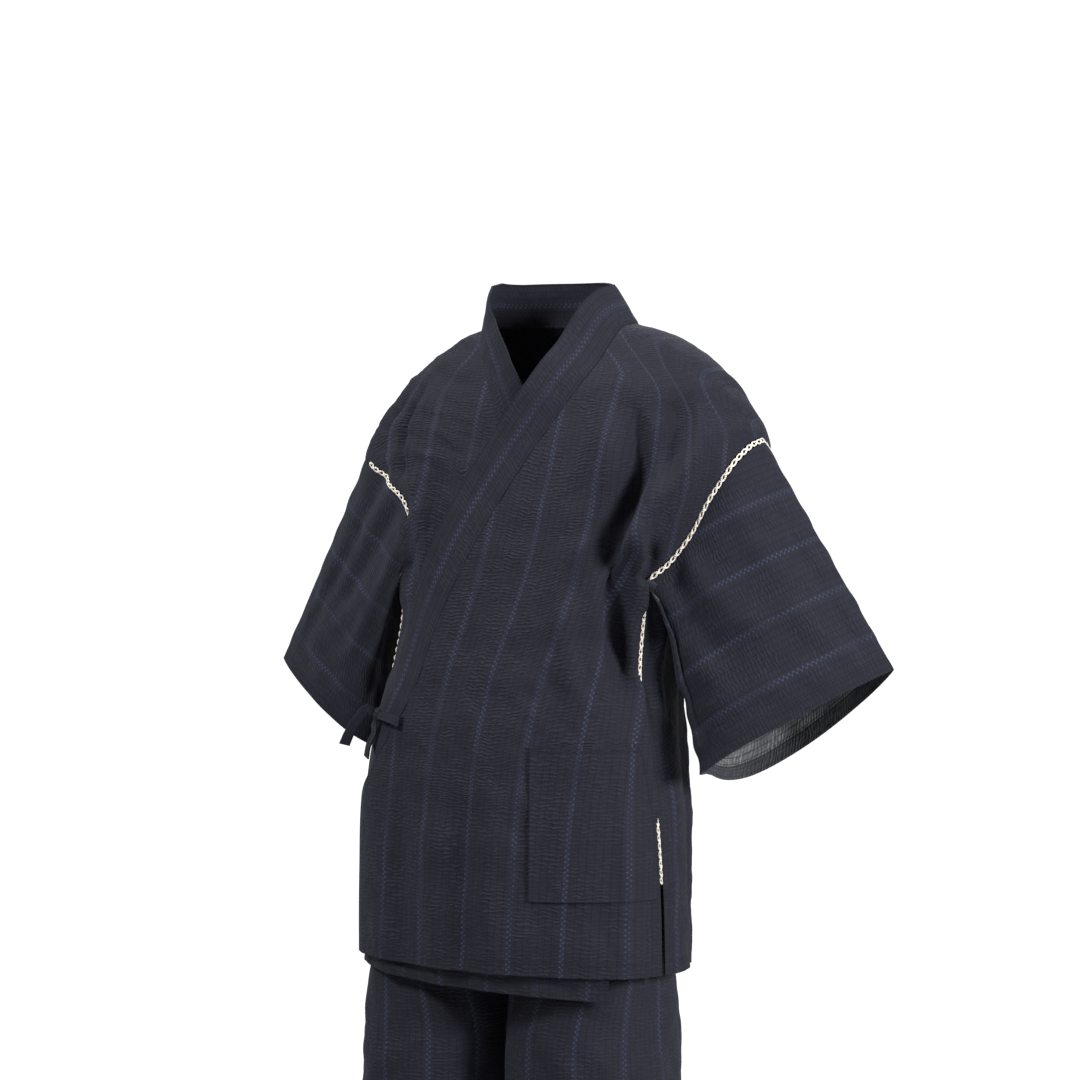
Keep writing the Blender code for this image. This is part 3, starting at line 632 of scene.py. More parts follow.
def knot_ways():
    """At the knot: round the body to the wearer's left, outwards and up."""
    outwards = ring_normal(JACKET, *KNOT, NECK)
    right = unit(by_knot(0.001, 0, 0) - by_knot(-0.001, 0, 0))
    return right, outwards, np.cross(outwards, right)


def tie_loop():
    """The loop of the bow: tape that leaves the knot, turns round and comes back under itself."""
    turn = np.linspace(0, math.pi, 15)
    reach = KNOT_SIZE[0] / 2 + SEAM + LOOP_LENGTH * np.sin(turn) ** 0.8
    sag = 0.003 * np.sin(turn) ** 2
    path = by_knot(reach, -sag, LOOP_HEIGHT * np.cos(turn))
    return tape(path, knot_ways()[2], TIE_WIDTH * mix(0.6, 1.0, np.sin(turn))[:, None])


def tie_end(rows, edge_on):
    """A free end of the bow, flat on the body or edge-on to it."""
    right, outwards = knot_ways()[:2]
    path = along_rows(rows, 11)
    slope = np.gradient(path, axis=0)
    across = np.cross(right if edge_on else outwards, slope)
    return tape(path, across, TIE_WIDTH * mix(0.6, 0.9, np.linspace(0, 1, 11) ** 0.5)[:, None])


def tie_from_side():
    return tape(along_rows(TIE_FROM_SIDE, 13), knot_ways()[2], TIE_WIDTH * 0.7)


# Finer creases than the solids have


def creases(*rows):
    """Creases in millimetres: x and y of both ends, bow, width and rise, which is negative for a trough."""
    return np.array(rows, float) / 1000


BODY_CREASES = creases(
    (86, -105, 76, -300, -5, 9.5, -15),
    (78, -250, 168, -415, 4, 11.5, -19),
    (60, -110, 54, -300, -4, 12, 8),
    (100, -45, 60, -215, 6, 9, 4.5),
    (108, -150, 100, -270, -4, 11, 5),
    (104, -228, 156, -335, 4, 9, 11),
    (116, -240, 200, -365, 4, 7, -8),
    (150, -55, 118, -190, 6, 8, -5),
    (170, -80, 140, -230, 6, 8.5, 5),
    (52, -310, 105, -450, 4, 14, 6),
    (30, -300, -20, -560, 10, 16, 3),
    (75, -420, 60, -700, 4, 13, -2),
    (-6, -520, -6, -790, 1, 12, -6),
    (14, -540, 12, -790, 1, 11, 4),
    (-30, -560, -34, -780, 2, 13, 4),
    (-85, -560, -75, -770, 2, 12, -3),
    (150, -480, 165, -740, 4, 11, 2.6),
    (-142, -75, -113, -195, -4, 8, -14),
    (-120, -80, -92, -230, -4, 10, 8),
    (-165, -90, -160, -190, -4, 10, 6),
    (-66, -150, -75, -330, -4, 11, -4.5),
    (-92, -210, -115, -380, -4, 11, 5.5),
    (330, -140, 370, -330, 8, 9, -3.4),
    (375, -80, 430, -260, 8, 10, 3),
    (350, -420, 335, -700, 4, 14, 2.6),
    (450, -380, 455, -740, 4, 15, -2.4),
    (-330, -140, -365, -330, -8, 9, -3.4),
    (-370, -90, -420, -280, -8, 10, 3),
    (-360, -420, -340, -720, -4, 14, 2.6),
    (-450, -400, -460, -740, -4, 15, -2.4),
)

# On a sleeve x runs round it from the shoulder by way of the front, and y from the armhole to the cuff
SLEEVE_CREASES = {
    1: creases(
        (262, 0, 235, 300, 4, 40, -15),
        (215, 0, 165, 180, 10, 16, -6),
        (190, 0, 120, 180, 8, 15, 5),
        (105, 20, 85, 240, 4, 14, 3),
        (55, 60, 50, 290, 3, 11, -2.6),
        (290, 20, 260, 250, 5, 16, 5),
        (400, 10, 440, 260, 8, 20, 6),
        (480, 20, 510, 260, 6, 18, -5),
        (560, 10, 570, 240, 4, 13, 3.5),
    ),
    -1: creases(
        (120, 0, 105, 210, 6, 14, -5.5),
        (160, 10, 165, 230, 6, 15, 4.5),
        (70, 20, 60, 250, 4, 12, 3),
        (220, 0, 240, 220, 6, 16, -4.5),
        (400, 10, 430, 240, 8, 20, 6),
        (490, 20, 500, 240, 6, 18, -5),
        (560, 10, 570, 230, 4, 13, 3.5),
    ),
}

# On a trouser leg x runs round it from its front seam by way of the outer side, and y is the height
LEG_CREASES = {
    1: creases(
        (30, -840, 120, -960, 10, 12, -5),
        (20, -870, 90, -1040, 10, 13, 4),
        (100, -700, 105, -1120, 4, 16, 3.6),
        (170, -780, 160, -1100, 6, 18, -3.6),
        (330, -820, 320, -1100, 6, 20, 4),
        (420, -860, 390, -1100, 6, 18, -4),
    ),
    -1: creases(
        (30, -830, 130, -930, 10, 12, -5),
        (20, -860, 100, -1010, 10, 13, 4),
        (110, -760, 100, -1120, 4, 15, 3.6),
        (190, -760, 185, -1090, 6, 18, -3.6),
        (320, -800, 330, -1110, 6, 20, 4),
        (410, -850, 400, -1100, 6, 18, -4),
    ),
}


def pucker(x, y, seed, size):
    """Unevenness of worn cloth, about as wide as the size given and one metre high before scaling."""
    draw = np.random.default_rng(seed)
    total = np.zeros(np.shape(x + y))
    waves = 14
    for _ in range(waves):
        turn, phase, stretch = draw.uniform(0, math.pi), draw.uniform(0, 2 * math.pi), draw.uniform(0.6, 1.6)
        wave = 2 * math.pi / (size * stretch)
        total += np.sin((x * math.cos(turn) + y * math.sin(turn)) * wave + phase)
    return total / waves ** 0.5


def lengths(points, axis):
    """Distance along the rows or columns of a grid of points, from their start."""
    legs = np.linalg.norm(np.diff(points, axis=axis), axis=-1)
    start = np.zeros_like(np.take(legs, [0], axis=axis))
    return np.concatenate([start, np.cumsum(legs, axis=axis)], axis=axis)


def outward(points, core):
    """Normals of a grid of points that face away from its core."""
    normal = unit(np.cross(np.gradient(points, axis=0), np.gradient(points, axis=1)) + 1e-12)
    return normal * np.sign((normal * (points - core)).sum(-1).mean())


def joined(*spans):
    """Even steps along spans that follow one another, each given as start, end and count."""
    return np.concatenate([[spans[0][0]]] + [np.linspace(*span)[1:] for span in spans])


def from_edges(grid):
    """The smaller distance to the first and the last column of a grid of running lengths."""
    return np.minimum(grid, grid[:, -1:] - grid)


def read(items, name, kind=float, width=1):
    values = np.empty(len(items) * width, kind)
    items.foreach_get(name, values)
    return values.reshape(-1, width) if width > 1 else values


def lay_grid(name, points, map_name, flat_map):
    """A grid laid on rows and columns of points, with its map; gives each vertex's row and column too."""
    rows, columns = points.shape[:2]
    bpy.ops.object.select_all(action="DESELECT")
    bpy.ops.mesh.primitive_grid_add(x_subdivisions=columns - 1, y_subdivisions=rows - 1, size=2)
    piece = bpy.context.object
    piece.name = piece.data.name = name
    mesh = piece.data
    flat = read(mesh.vertices, "co", width=3)
    place = tuple(np.rint((flat[:, k] + 1) / 2 * (n - 1)).astype(int) for k, n in ((1, rows), (0, columns)))
    mesh.vertices.foreach_set("co", points[place].ravel())
    corners = read(mesh.loops, "vertex_index", np.int32)
    mesh.uv_layers[0].name = map_name
    mesh.uv_layers[0].data.foreach_set("uv", flat_map[place][corners].ravel())
    return piece, place, corners


def lay_cloth(name, points, core, flat_map, hem, wall, cloths, tube=False):
    """A sheet of cloth: a grid laid on the points, with its cloth map, hem distances and wall."""
    piece, place, corners = lay_grid(name, points, "cloth_map", np.stack(flat_map, -1))
    mesh = piece.data
    mesh.attributes.new("hem", "FLOAT", "POINT").data.foreach_set("value", hem[place])
    mesh.update()
    facing = read(mesh.polygons, "normal", width=3)
    first = read(mesh.polygons, "loop_start", np.int32)
    if (facing * outward(points, core)[place][corners[first]]).sum() < 0:
        mesh.flip_normals()
    if tube:
        bpy.ops.object.mode_set(mode="EDIT")
        bpy.ops.mesh.select_all(action="SELECT")
        bpy.ops.mesh.remove_doubles(threshold=0.00001)
        bpy.ops.object.mode_set(mode="OBJECT")
    for material in cloths:
        mesh.materials.append(material)
    thickness = piece.modifiers.new("wall", "SOLIDIFY")
    thickness.thickness = wall
    thickness.offset = -1
    thickness.material_offset = len(cloths) - 1
    bpy.ops.object.modifier_apply(modifier="wall")
    mesh.shade_smooth()
    bpy.ops.object.shade_smooth_by_angle(angle=math.radians(60))
    return piece


def settle(piece, nodes):
    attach(piece, "root")
    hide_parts(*nodes)
    return piece


# Materials

STRIPE_PITCH = 0.060
ZIGZAG_WIDTH = 0.0046
ZIGZAG_REPEAT = 0.0062
RIPPLE_PITCH = 0.0047
NIGHT = (0.0048, 0.0051, 0.0104, 1)  # the cloth's dark navy, with painted shade in the troughs of the crinkle
SLATE = (0.0168, 0.0174, 0.0288, 1)  # crests, where light catches the yarn
BLUE = (0.045, 0.059, 0.107, 1)  # zigzag yarn
SHADOW = (0.004, 0.005, 0.010, 1)  # in the holes of stitches
BODY_LINING = {"dark": (0.010, 0.011, 0.018, 1), "light": (0.030, 0.032, 0.045, 1)}
# Inside of the sleeves: painted light, pale as if lit through the thin cloth, with painted shade on the doubled
# hem band
SLEEVE_INSIDE_PAINTED_LIGHT = {"dark": (0.018, 0.019, 0.024, 1), "light": (0.190, 0.193, 0.205, 1), "hem_shade": 0.7}
PINSTRIPE_PITCH = 0.0080
STITCH_IN = 0.0016  # from a hem's inner edge, and the length of a stitch
CRINKLE_DEPTH = 0.0008
CORD_DARK = (0.42, 0.34, 0.26, 1)
CORD_LIGHT = (0.88, 0.83, 0.75, 1)
CORD_TWIST = 0.0022


class Weaver:
    """Adds nodes to a tree; a value is a number or another node's output."""

    def __init__(self, tree):
        self.tree = tree

    def add(self, kind, inputs=None, **settings):
        node = self.tree.nodes.new(kind)
        for name, value in settings.items():
            setattr(node, name, value)
        for key, value in (inputs or {}).items():
            if isinstance(value, bpy.types.NodeSocket):
                self.tree.links.new(value, node.inputs[key])
            else:
                node.inputs[key].default_value = value
        return node

    def math(self, operation, *values):
        return self.add("ShaderNodeMath", dict(enumerate(values)), operation=operation).outputs[0]

    def times(self, first, second):
        return self.math("MULTIPLY", first, second)

    def plus(self, first, second):
        return self.math("ADD", first, second)

    def minus(self, first, second):
        return self.math("SUBTRACT", first, second)

    def size(self, value):
        return self.math("ABSOLUTE", value)

    def rise(self, value, low, high, start=0.0, end=1.0):
        inputs = {0: value, 1: low, 2: high, 3: start, 4: end}
        return self.add("ShaderNodeMapRange", inputs, interpolation_type="SMOOTHSTEP").outputs[0]

    def noise(self, x, y, x_scale, y_scale, detail=2.0):
        place = {0: self.times(x, x_scale), 1: self.times(y, y_scale)}
        vector = self.add("ShaderNodeCombineXYZ", place).outputs[0]
        inputs = {"Vector": vector, "Scale": 1.0, "Detail": detail, "Distortion": 0.0}
        return self.add("ShaderNodeTexNoise", inputs, noise_dimensions="2D").outputs[0]

    def blend(self, share, first, second):
        inputs = {0: share, 6: first, 7: second}
        return self.add("ShaderNodeMix", inputs, data_type="RGBA", clamp_factor=True).outputs[2]


def new_group(name, inputs, outputs):
    tree = bpy.data.node_groups.new(name, "ShaderNodeTree")
    for label, kind in inputs:
        tree.interface.new_socket(label, in_out="INPUT", socket_type=kind)
    for label, kind in outputs:
        tree.interface.new_socket(label, in_out="OUTPUT", socket_type=kind)
    weaver = Weaver(tree)
    return weaver, weaver.add("NodeGroupInput").outputs, weaver.add("NodeGroupOutput").inputs


def new_material(name, map_name):
    """A material with its shader, and the two numbers of a map."""
    material = bpy.data.materials.new(name)
    material.use_nodes = True
    weave = Weaver(material.node_tree)
    on_map = weave.add("ShaderNodeUVMap", uv_map=map_name)
    place = weave.add("ShaderNodeSeparateXYZ", {0: on_map.outputs[0]}).outputs
    return material, weave, place[0], place[1], material.node_tree.nodes["Principled BSDF"]


def finish_material(weave, shader, colour, height, depth, strength, plain):
    """Joins the colour and the bumps to the shader, and sets its plain inputs."""
    bump = weave.add("ShaderNodeBump", {"Height": height, "Strength": strength, "Distance": depth})
    weave.tree.links.new(colour, shader.inputs["Base Color"])
    weave.tree.links.new(bump.outputs["Normal"], shader.inputs["Normal"])
    for label, value in plain.items():
        shader.inputs[label].default_value = value


def crinkled_stripes():
    """Crinkled cotton: ripples across the warp, streaks of yarn along it and blue zigzag stripes."""
    floats = ("Across", "Along", "Stripe Place", "Stripe Pitch", "Hem", "Hem Width", "Hem Shade")
    inputs = [(label, "NodeSocketFloat") for label in floats]
    inputs += [("Dark", "NodeSocketColor"), ("Light", "NodeSocketColor")]
    outputs = [("Color", "NodeSocketColor"), ("Roughness", "NodeSocketFloat"), ("Height", "NodeSocketFloat")]
    weave, given, put = new_group("crinkled_stripes", inputs, outputs)
    do, rise, size = weave.math, weave.rise, weave.size
    times, plus, minus = weave.times, weave.plus, weave.minus
    across, along, pitch = given["Across"], given["Along"], given["Stripe Pitch"]

    # Stripes: a zigzag line of blue yarn in a smoother band
    shifted = do("DIVIDE", minus(across, given["Stripe Place"]), pitch)
    from_stripe = times(minus(do("FRACT", plus(shifted, 0.5)), 0.5), pitch)
    band = rise(size(from_stripe), 0.003, 0.007, 1.0, 0.0)
    zigzag = minus(do("PINGPONG", along, ZIGZAG_REPEAT / 2), ZIGZAG_REPEAT / 4)
    zigzag = times(zigzag, 2 * ZIGZAG_WIDTH / ZIGZAG_REPEAT)
    line = rise(size(minus(from_stripe, zigzag)), 0.0004, 0.0011, 1.0, 0.0)
    worn = weave.noise(across, along, 90, 14)
    line = times(line, rise(worn, 0.30, 0.65, 0.25, 1.0))
    line = times(line, rise(size(zigzag), 0.0004, 0.0014, 0.25, 1.0))

    # Crinkle: wandering ripples, broken up and in patches
    wander = weave.noise(across, along, 85, 60, detail=3.0)
    swing = plus(times(along, 2 * math.pi / RIPPLE_PITCH), times(wander, 11.0))
    ripple = do("MULTIPLY_ADD", do("SINE", swing), 0.5, 0.5)
    broken = weave.noise(across, along, 105, 210, detail=1.0)
    ripple = times(ripple, rise(broken, 0.30, 0.62, 0.15, 1.0))
    patches = rise(weave.noise(across, along, 34, 24), 0.34, 0.64, 0.35, 1.0)
    patches = times(patches, rise(band, 0.0, 1.0, 1.0, 0.45))
    ripple = times(ripple, patches)

    # Yarn both ways, and the fine darker lines of the warp
    warp = weave.noise(across, along, 900, 60, detail=1.0)
    weft = weave.noise(across, along, 90, 1100, detail=1.0)
    yarn = times(plus(warp, weft), 0.5)
    pinstripe = size(minus(do("FRACT", do("DIVIDE", across, PINSTRIPE_PITCH)), 0.5))
    pinstripe = rise(pinstripe, 0.04, 0.10, 0.22, 0.0)

    # Hems, with a row of stitches
    hem, hem_width = given["Hem"], given["Hem Width"]
    in_hem = rise(hem, minus(hem_width, 0.0006), hem_width, 1.0, 0.0)
    stitch = size(minus(hem, minus(hem_width, STITCH_IN)))
    dashes = rise(do("PINGPONG", plus(along, across), STITCH_IN), 0.0004, 0.0008, 0.0, 1.0)
    stitch = times(rise(stitch, 0.0004, 0.0009, 1.0, 0.0), dashes)

    # Colour: painted light on the ripples' crests and painted shade in their troughs, over the yarn's own tone
    # and the warp's darker lines
    shade = do("MULTIPLY_ADD", ripple, 0.32, times(yarn, 0.78))
    # Hems painted darker: painted shade of the doubled cloth
    shade = minus(minus(shade, pinstripe), times(in_hem, 0.06))
    colour = weave.blend(rise(shade, 0.10, 0.95), given["Dark"], given["Light"])
    # The stripes' blue yarn, then painted shade on the hems and painted shadow in the stitch holes
    for share, amount, over in (
        (band, 0.05, BLUE),
        (line, 0.80, BLUE),
        (in_hem, given["Hem Shade"], given["Dark"]),
        (stitch, 0.7, SHADOW),
    ):
        colour = weave.blend(times(share, amount), colour, over)
    roughness = minus(do("MULTIPLY_ADD", yarn, 0.20, 0.72), times(line, 0.15))
    height = plus(plus(ripple, times(yarn, 0.22)), times(line, 0.12))
    height = minus(do("MULTIPLY_ADD", in_hem, 0.35, height), times(stitch, 0.5))
    for label, value in (("Color", colour), ("Roughness", roughness), ("Height", height)):
        weave.tree.links.new(value, put[label])


def cotton(
    name, stripes, crinkle, sheen=0.04, hem=0.018, pitch=STRIPE_PITCH, dark=NIGHT, light=SLATE, hem_shade=0.1
):
    """The striped cotton of one piece: where its stripes lie, how deep its crinkle is, how wide its hems."""
    material, weave, across, along, shader = new_material(name, "cloth_map")
    from_edge = weave.add("ShaderNodeAttribute", attribute_name="hem").outputs["Fac"]
    pattern = weave.add("ShaderNodeGroup", node_tree=bpy.data.node_groups["crinkled_stripes"])
    given = {
        "Stripe Place": stripes,
        "Stripe Pitch": pitch,
        "Hem Width": hem,
        "Hem Shade": hem_shade,
        "Dark": dark,
        "Light": light,
    }
    for label, value in given.items():
        pattern.inputs[label].default_value = value
    for source, label in ((across, "Across"), (along, "Along"), (from_edge, "Hem")):
        weave.tree.links.new(source, pattern.inputs[label])
    weave.tree.links.new(pattern.outputs["Roughness"], shader.inputs["Roughness"])
    plain = {
        "Specular IOR Level": 0.22,
        "Sheen Weight": sheen,
        "Sheen Roughness": 0.45,
        "Sheen Tint": (0.75, 0.80, 1.0, 1),
    }
    shown = pattern.outputs
    finish_material(weave, shader, shown["Color"], shown["Height"], CRINKLE_DEPTH, crinkle, plain)
    return material


def braid_yarn():
    """Cream cotton cord: fine twist lines along each strand, painted darker in their grooves as painted shade,
    and a little colour change.
    """
    material, weave, turn, along, shader = new_material("cream_braid_yarn", "cord_map")
    do = weave.math
    twist = weave.plus(weave.times(turn, 2.0), do("DIVIDE", along, CORD_TWIST))
    twist = do("SINE", weave.times(twist, 2 * math.pi))
    patches = weave.noise(turn, along, 3.0, 260)
    # Twist crests painted lighter and grooves darker: painted shade that follows the bump; the patches are the
    # yarn's own colour change
    shade = weave.plus(do("MULTIPLY_ADD", twist, 0.20, 0.35), weave.times(patches, 0.6))
    colour = weave.blend(weave.rise(shade, 0.1, 1.0), CORD_DARK, CORD_LIGHT)
    finish_material(weave, shader, colour, twist, 0.0004, 0.5, {"Roughness": 0.75, "Sheen Weight": 0.2})
    return material


# Pieces

LAP = 0.0062  # how far the fronts reach over a braid where a fold hides it
LAP_STAND = 0.0030  # how far they stand off there
LAP_REACH = 0.030  # how far in the cloth is drawn along
# Where laps start, are full, start to end and end: heights at the side seams, and ways at the right armhole
SIDE_LAPS = ((-0.583, -0.560, -0.425, -0.405), (-0.345, -0.325, 1, 2))
ARM_LAPS = ((0.97, 1.02, 1.34, 1.42), (1.78, 1.81, 1.86, 1.89))
ARM_LAP_SHARE = 1.5  # of the laps at the sides
SLIT_TOP = mix(HEM, SIDE_TOP, SLIT_ROW / SIDE_ROWS)
FADE = 0.02  # how far in from its seams a piece's creases reach their full height
EDGE_HEM = 0.0035  # what a folded edge has in place of a hem's inner edge
UNDER_COLLAR = 0.0014  # how far the body's edge reaches under the collar
WAIST_GATHERS = 84

FRONT_LEAN = table(
    "height left right",
    (-0.8, -0.018, 0.01),
    (-0.5, 0, 0),
    (-0.3, 0.022, -0.012),
    (-0.12, 0.044, -0.026),
    (0, 0.052, -0.032),
)


def girth_rows():
    """Lengths round the jacket body from the front, for a ladder of heights and angles."""
    heights = np.linspace(HEM - 0.04, NECK, 90)
    angles = np.linspace(0, math.pi, 120)
    points = ring(JACKET, *np.broadcast_arrays(angles[None, :], heights[:, None]))
    return heights, angles, lengths(points, 1)


def round_body(angle, height, girths):
    """Metres of cloth round the body from its front line to an angle, at a height."""
    heights, angles, rows = girths
    at_height = np.clip((height - heights[0]) / (heights[-1] - heights[0]), 0, 1) * (len(heights) - 1)
    at_angle = np.clip(np.abs(angle) / math.pi, 0, 1) * (len(angles) - 1)
    low_row = np.minimum(at_height.astype(int), len(heights) - 2)
    low_column = np.minimum(at_angle.astype(int), len(angles) - 2)
    up, on = at_height - low_row, at_angle - low_column
    lower = mix(rows[low_row, low_column], rows[low_row, low_column + 1], on)
    upper = mix(rows[low_row + 1, low_column], rows[low_row + 1, low_column + 1], on)
    return np.sign(angle) * mix(lower, upper, up)


def across_stripes(angle, height, ways, side):
    """Where a place on a body half lies across the stripes: upright, with the fronts drawn aslant."""
    girths = girth_rows()
    angle = side * angle
    front = round_body(angle, height, girths)
    drawn = column(FRONT_LEAN, half(side), height) * (1 - step(angle, math.radians(30), math.radians(62)))
    back = round_body(0 * angle + math.pi, height, girths) - front
    return mix(front - drawn, back + 0.011, step(ways, 1.75, 2.25))


def on_axis(points):
    """Points on the upright line inside the body, level with the given ones."""
    return np.stack([0 * points[..., 2] - 0.01, 0 * points[..., 2], points[..., 2] - 0.02], -1)


def moved_out(points, core, amount):
    return points + outward(points, core) * amount[..., None]


def laps(at, rows):
    """1 inside each of the given spans and 0 outside, with smooth ends."""
    return sum(step(at, *row[:2]) * (1 - step(at, *row[2:])) for row in rows)


def jacket_body(side):
    """A half of the jacket: rows run from the front edge, collar seam, neck and back centre to the side."""
    ways = joined((0, 1, 96), (1, 2, 56), (2, 3, 84), (3, 4, 96))[:, None]
    share = np.linspace(0, 1, 76)[None, :]
    inner_angle, inner_height = inner_edge(ways, side)
    outer_angle, outer_height = outer_edge(ways, side)
    angle = mix(inner_angle, outer_angle, share)
    height = mix(inner_height, outer_height, share)
    points = body(angle, height, overlap_lift(angle, height, side))
    core = on_axis(points)
    facing = outward(points, core)
    from_inner, along = lengths(points, 1), lengths(points, 0)
    from_side = from_inner[:, -1:] - from_inner

    # Hems: the lower edges, the slit and the front's free edge
    hem = np.minimum(along, along[-1:] - along)
    at_slit = (height < SLIT_TOP) & ((ways < 1) | (ways > 3))
    hem = np.where(at_slit, np.minimum(hem, from_side), hem)
    free_edge = (ways < 1) & (height < COLLAR_END - 0.02)
    hem = np.where(free_edge, np.minimum(hem, from_inner), hem)

    # Creases, on the back by the angle that runs on from the same side
    wrapped = (angle + math.pi) % (2 * math.pi) - math.pi
    wrapped = np.where((side < 0) & (wrapped > 0), wrapped - 2 * math.pi, wrapped)
    rise = crease_rise(BODY_CREASES, wrapped * GIRTH_RADIUS, height)
    rise = rise + 0.0009 * pucker(from_side, along, seed=3 + side, size=0.050)
    rise = rise + 0.0004 * pucker(from_side, along, seed=8 + side, size=0.018)
    edge = np.minimum(from_edges(from_inner), FADE) / FADE

    # Edges: under the collar, and over a braid where a fold hides it
    to_seam = unit(points[:, 1:2] - points[:, :1])
    collared = (ways >= COLLAR_ROW / SIDE_ROWS) & (ways <= 2 + NECK_ROWS / BACK_ARM_ROWS)
    points = points - to_seam * (collared * UNDER_COLLAR * (1 - step(from_inner, 0, 0.006)))[..., None]
    over_braid = laps(height, SIDE_LAPS) * (ways < 1)
    if side < 0:
        over_braid = over_braid + laps(ways, ARM_LAPS) * ARM_LAP_SHARE
    over_braid = over_braid * (1 - step(from_side, 0, LAP_REACH))
    to_side = unit(points[:, -1:] - points[:, -2:-1])
    points = points + (to_side * LAP + facing * LAP_STAND) * over_braid[..., None]
    points = points + facing * (rise * edge)[..., None]

    inside = cotton(f"body_{half(side)}_inside", 0.03, 0.6, 0.0, **BODY_LINING)
    outside = cotton(f"body_{half(side)}_cotton", 0.060 if side > 0 else 0.036, 0.9)
    across = across_stripes(angle, height, ways + 0 * angle, side)
    return lay_cloth(f"jacket_body_{half(side)}", points, core, (across, along), hem, WALL, (outside, inside))


def jacket_sleeve(side):
    station = np.linspace(0, 1, 150)[None, :]
    run = mix(BRAID_WIDTH, arm_length(side, station), np.linspace(0, 1, 70)[:, None])
    points = arm(side, station, run)
    core = points.mean(axis=1, keepdims=True) + 0 * points
    from_braid, around = lengths(points, 0), lengths(points, 1)
    to_cuff = from_braid[-1:] - from_braid
    edge = np.minimum(np.minimum(run - BRAID_WIDTH, to_cuff), FADE) / FADE
    closing = np.sin(math.pi * station) ** 0.2
    rise = crease_rise(SLEEVE_CREASES[side], station * ARMHOLE_ROUND, run)
    rise = rise + 0.0012 * closing * pucker(around, to_cuff, seed=21 + side, size=0.060)
    points = moved_out(points, core, rise * (0.3 + 0.7 * edge))
    outside = cotton(f"sleeve_{half(side)}_cotton", 0.046, 0.7, pitch=0.064)
    inside = cotton(f"sleeve_{half(side)}_inside", 0.046, 1.0, 0.0, **SLEEVE_INSIDE_PAINTED_LIGHT)
    cloths, name = (outside, inside), f"jacket_sleeve_{half(side)}"
    return lay_cloth(name, points, core, (to_cuff, around), to_cuff, WALL, cloths, tube=True)


def collar_band():
    """The collar: one long band, folded double and standing behind the neck."""
    back_way = 2 + NECK_ROWS / BACK_ARM_ROWS
    points, core = collar(joined((COLLAR_ROW / SIDE_ROWS, 1, 60), (1, 2, 70), (2, back_way, 26)), 14)
    width, along = lengths(points, 1), lengths(points, 0)
    edge = from_edges(width)
    hem = np.minimum(edge, np.minimum(along, along[-1:] - along)) + EDGE_HEM
    rounding = -0.0006 * (1 - step(edge, 0.0, 0.003))
    points = moved_out(points, core, rounding + 0.00035 * pucker(width, along, seed=41, size=0.030))
    outside = cotton("collar_cotton", COLLAR_WIDTH / 2, 0.45, hem=0.0055)
    return lay_cloth("collar_band", points, core, (width, along), hem, COLLAR_WALL, (outside,))


def patch_pocket():
    """The pocket on the left front, with a stitched hem along its mouth."""
    share = np.linspace(0, 1, 52)[:, None]
    height = mix(POCKET_BOTTOM, POCKET_TOP, share)
    seam = np.radians(column(SIDE_SEAM, "left", height)) - 0.010 / GIRTH_RADIUS
    angle = mix(POCKET_EDGE, seam, np.linspace(0, 1, 50)[None, :])
    height = height + 0 * angle
    points = body(angle, height, overlap_lift(angle, height, 1) + POCKET_STAND + WALL)
    points = moved_out(points, on_axis(points), crease_rise(BODY_CREASES, angle * GIRTH_RADIUS, height))
    across, along = lengths(points, 1), lengths(points, 0)
    to_side = across[:, -1:] - across
    edges = np.minimum(np.minimum(across, to_side), along) + 0.0055
    hem = np.minimum(edges, along[-1:] - along)
    inward = step(across, 0, 0.03) * step(to_side, 0, 0.03)
    belly = (0.0010 * np.sin(math.pi * share) + 0.0048 * step(share, 0.66, 1.0)) * inward
    points = moved_out(points, on_axis(points), belly)
    outside = cotton("pocket_cotton", 0.060, 0.9, hem=0.0075)
    on_front = across_stripes(angle, height, 0 * angle, 1)
    return lay_cloth("patch_pocket", points, on_axis(points), (on_front, along + 0.09), hem, WALL, (outside,))


def trouser_leg(side):
    top = WAIST - WAISTBAND_HEIGHT - 3 * SEAM
    points = leg(side, np.linspace(0, 1, 112), np.linspace(LEG_HEM, top, 150))
    core = points.mean(axis=1, keepdims=True) + 0 * points
    around, along = lengths(points, 1), lengths(points, 0)
    wide = np.minimum(step(around, 0, 0.03), step(around[:, -1:] - around, 0, 0.03))
    below = 1 - step(points[..., 2], -0.80, -0.70)
    rise = crease_rise(LEG_CREASES[side], around, points[..., 2])
    rise = rise + 0.0011 * pucker(around, along, seed=61 + side, size=0.055)
    points = moved_out(points, core, rise * wide * below)
    outside = cotton(f"trouser_{half(side)}_cotton", 0.020, 0.9, hem=0.022)
    inside = cotton(f"trouser_{half(side)}_inside", 0.020, 0.6, 0.0, hem=0.022)
    upright = around[:1] * 0.5 + around[60:61] * 0.5 + 0 * along
    name = f"trouser_leg_cloth_{half(side)}"
    return lay_cloth(name, points, core, (upright, along), along, WALL, (outside, inside))


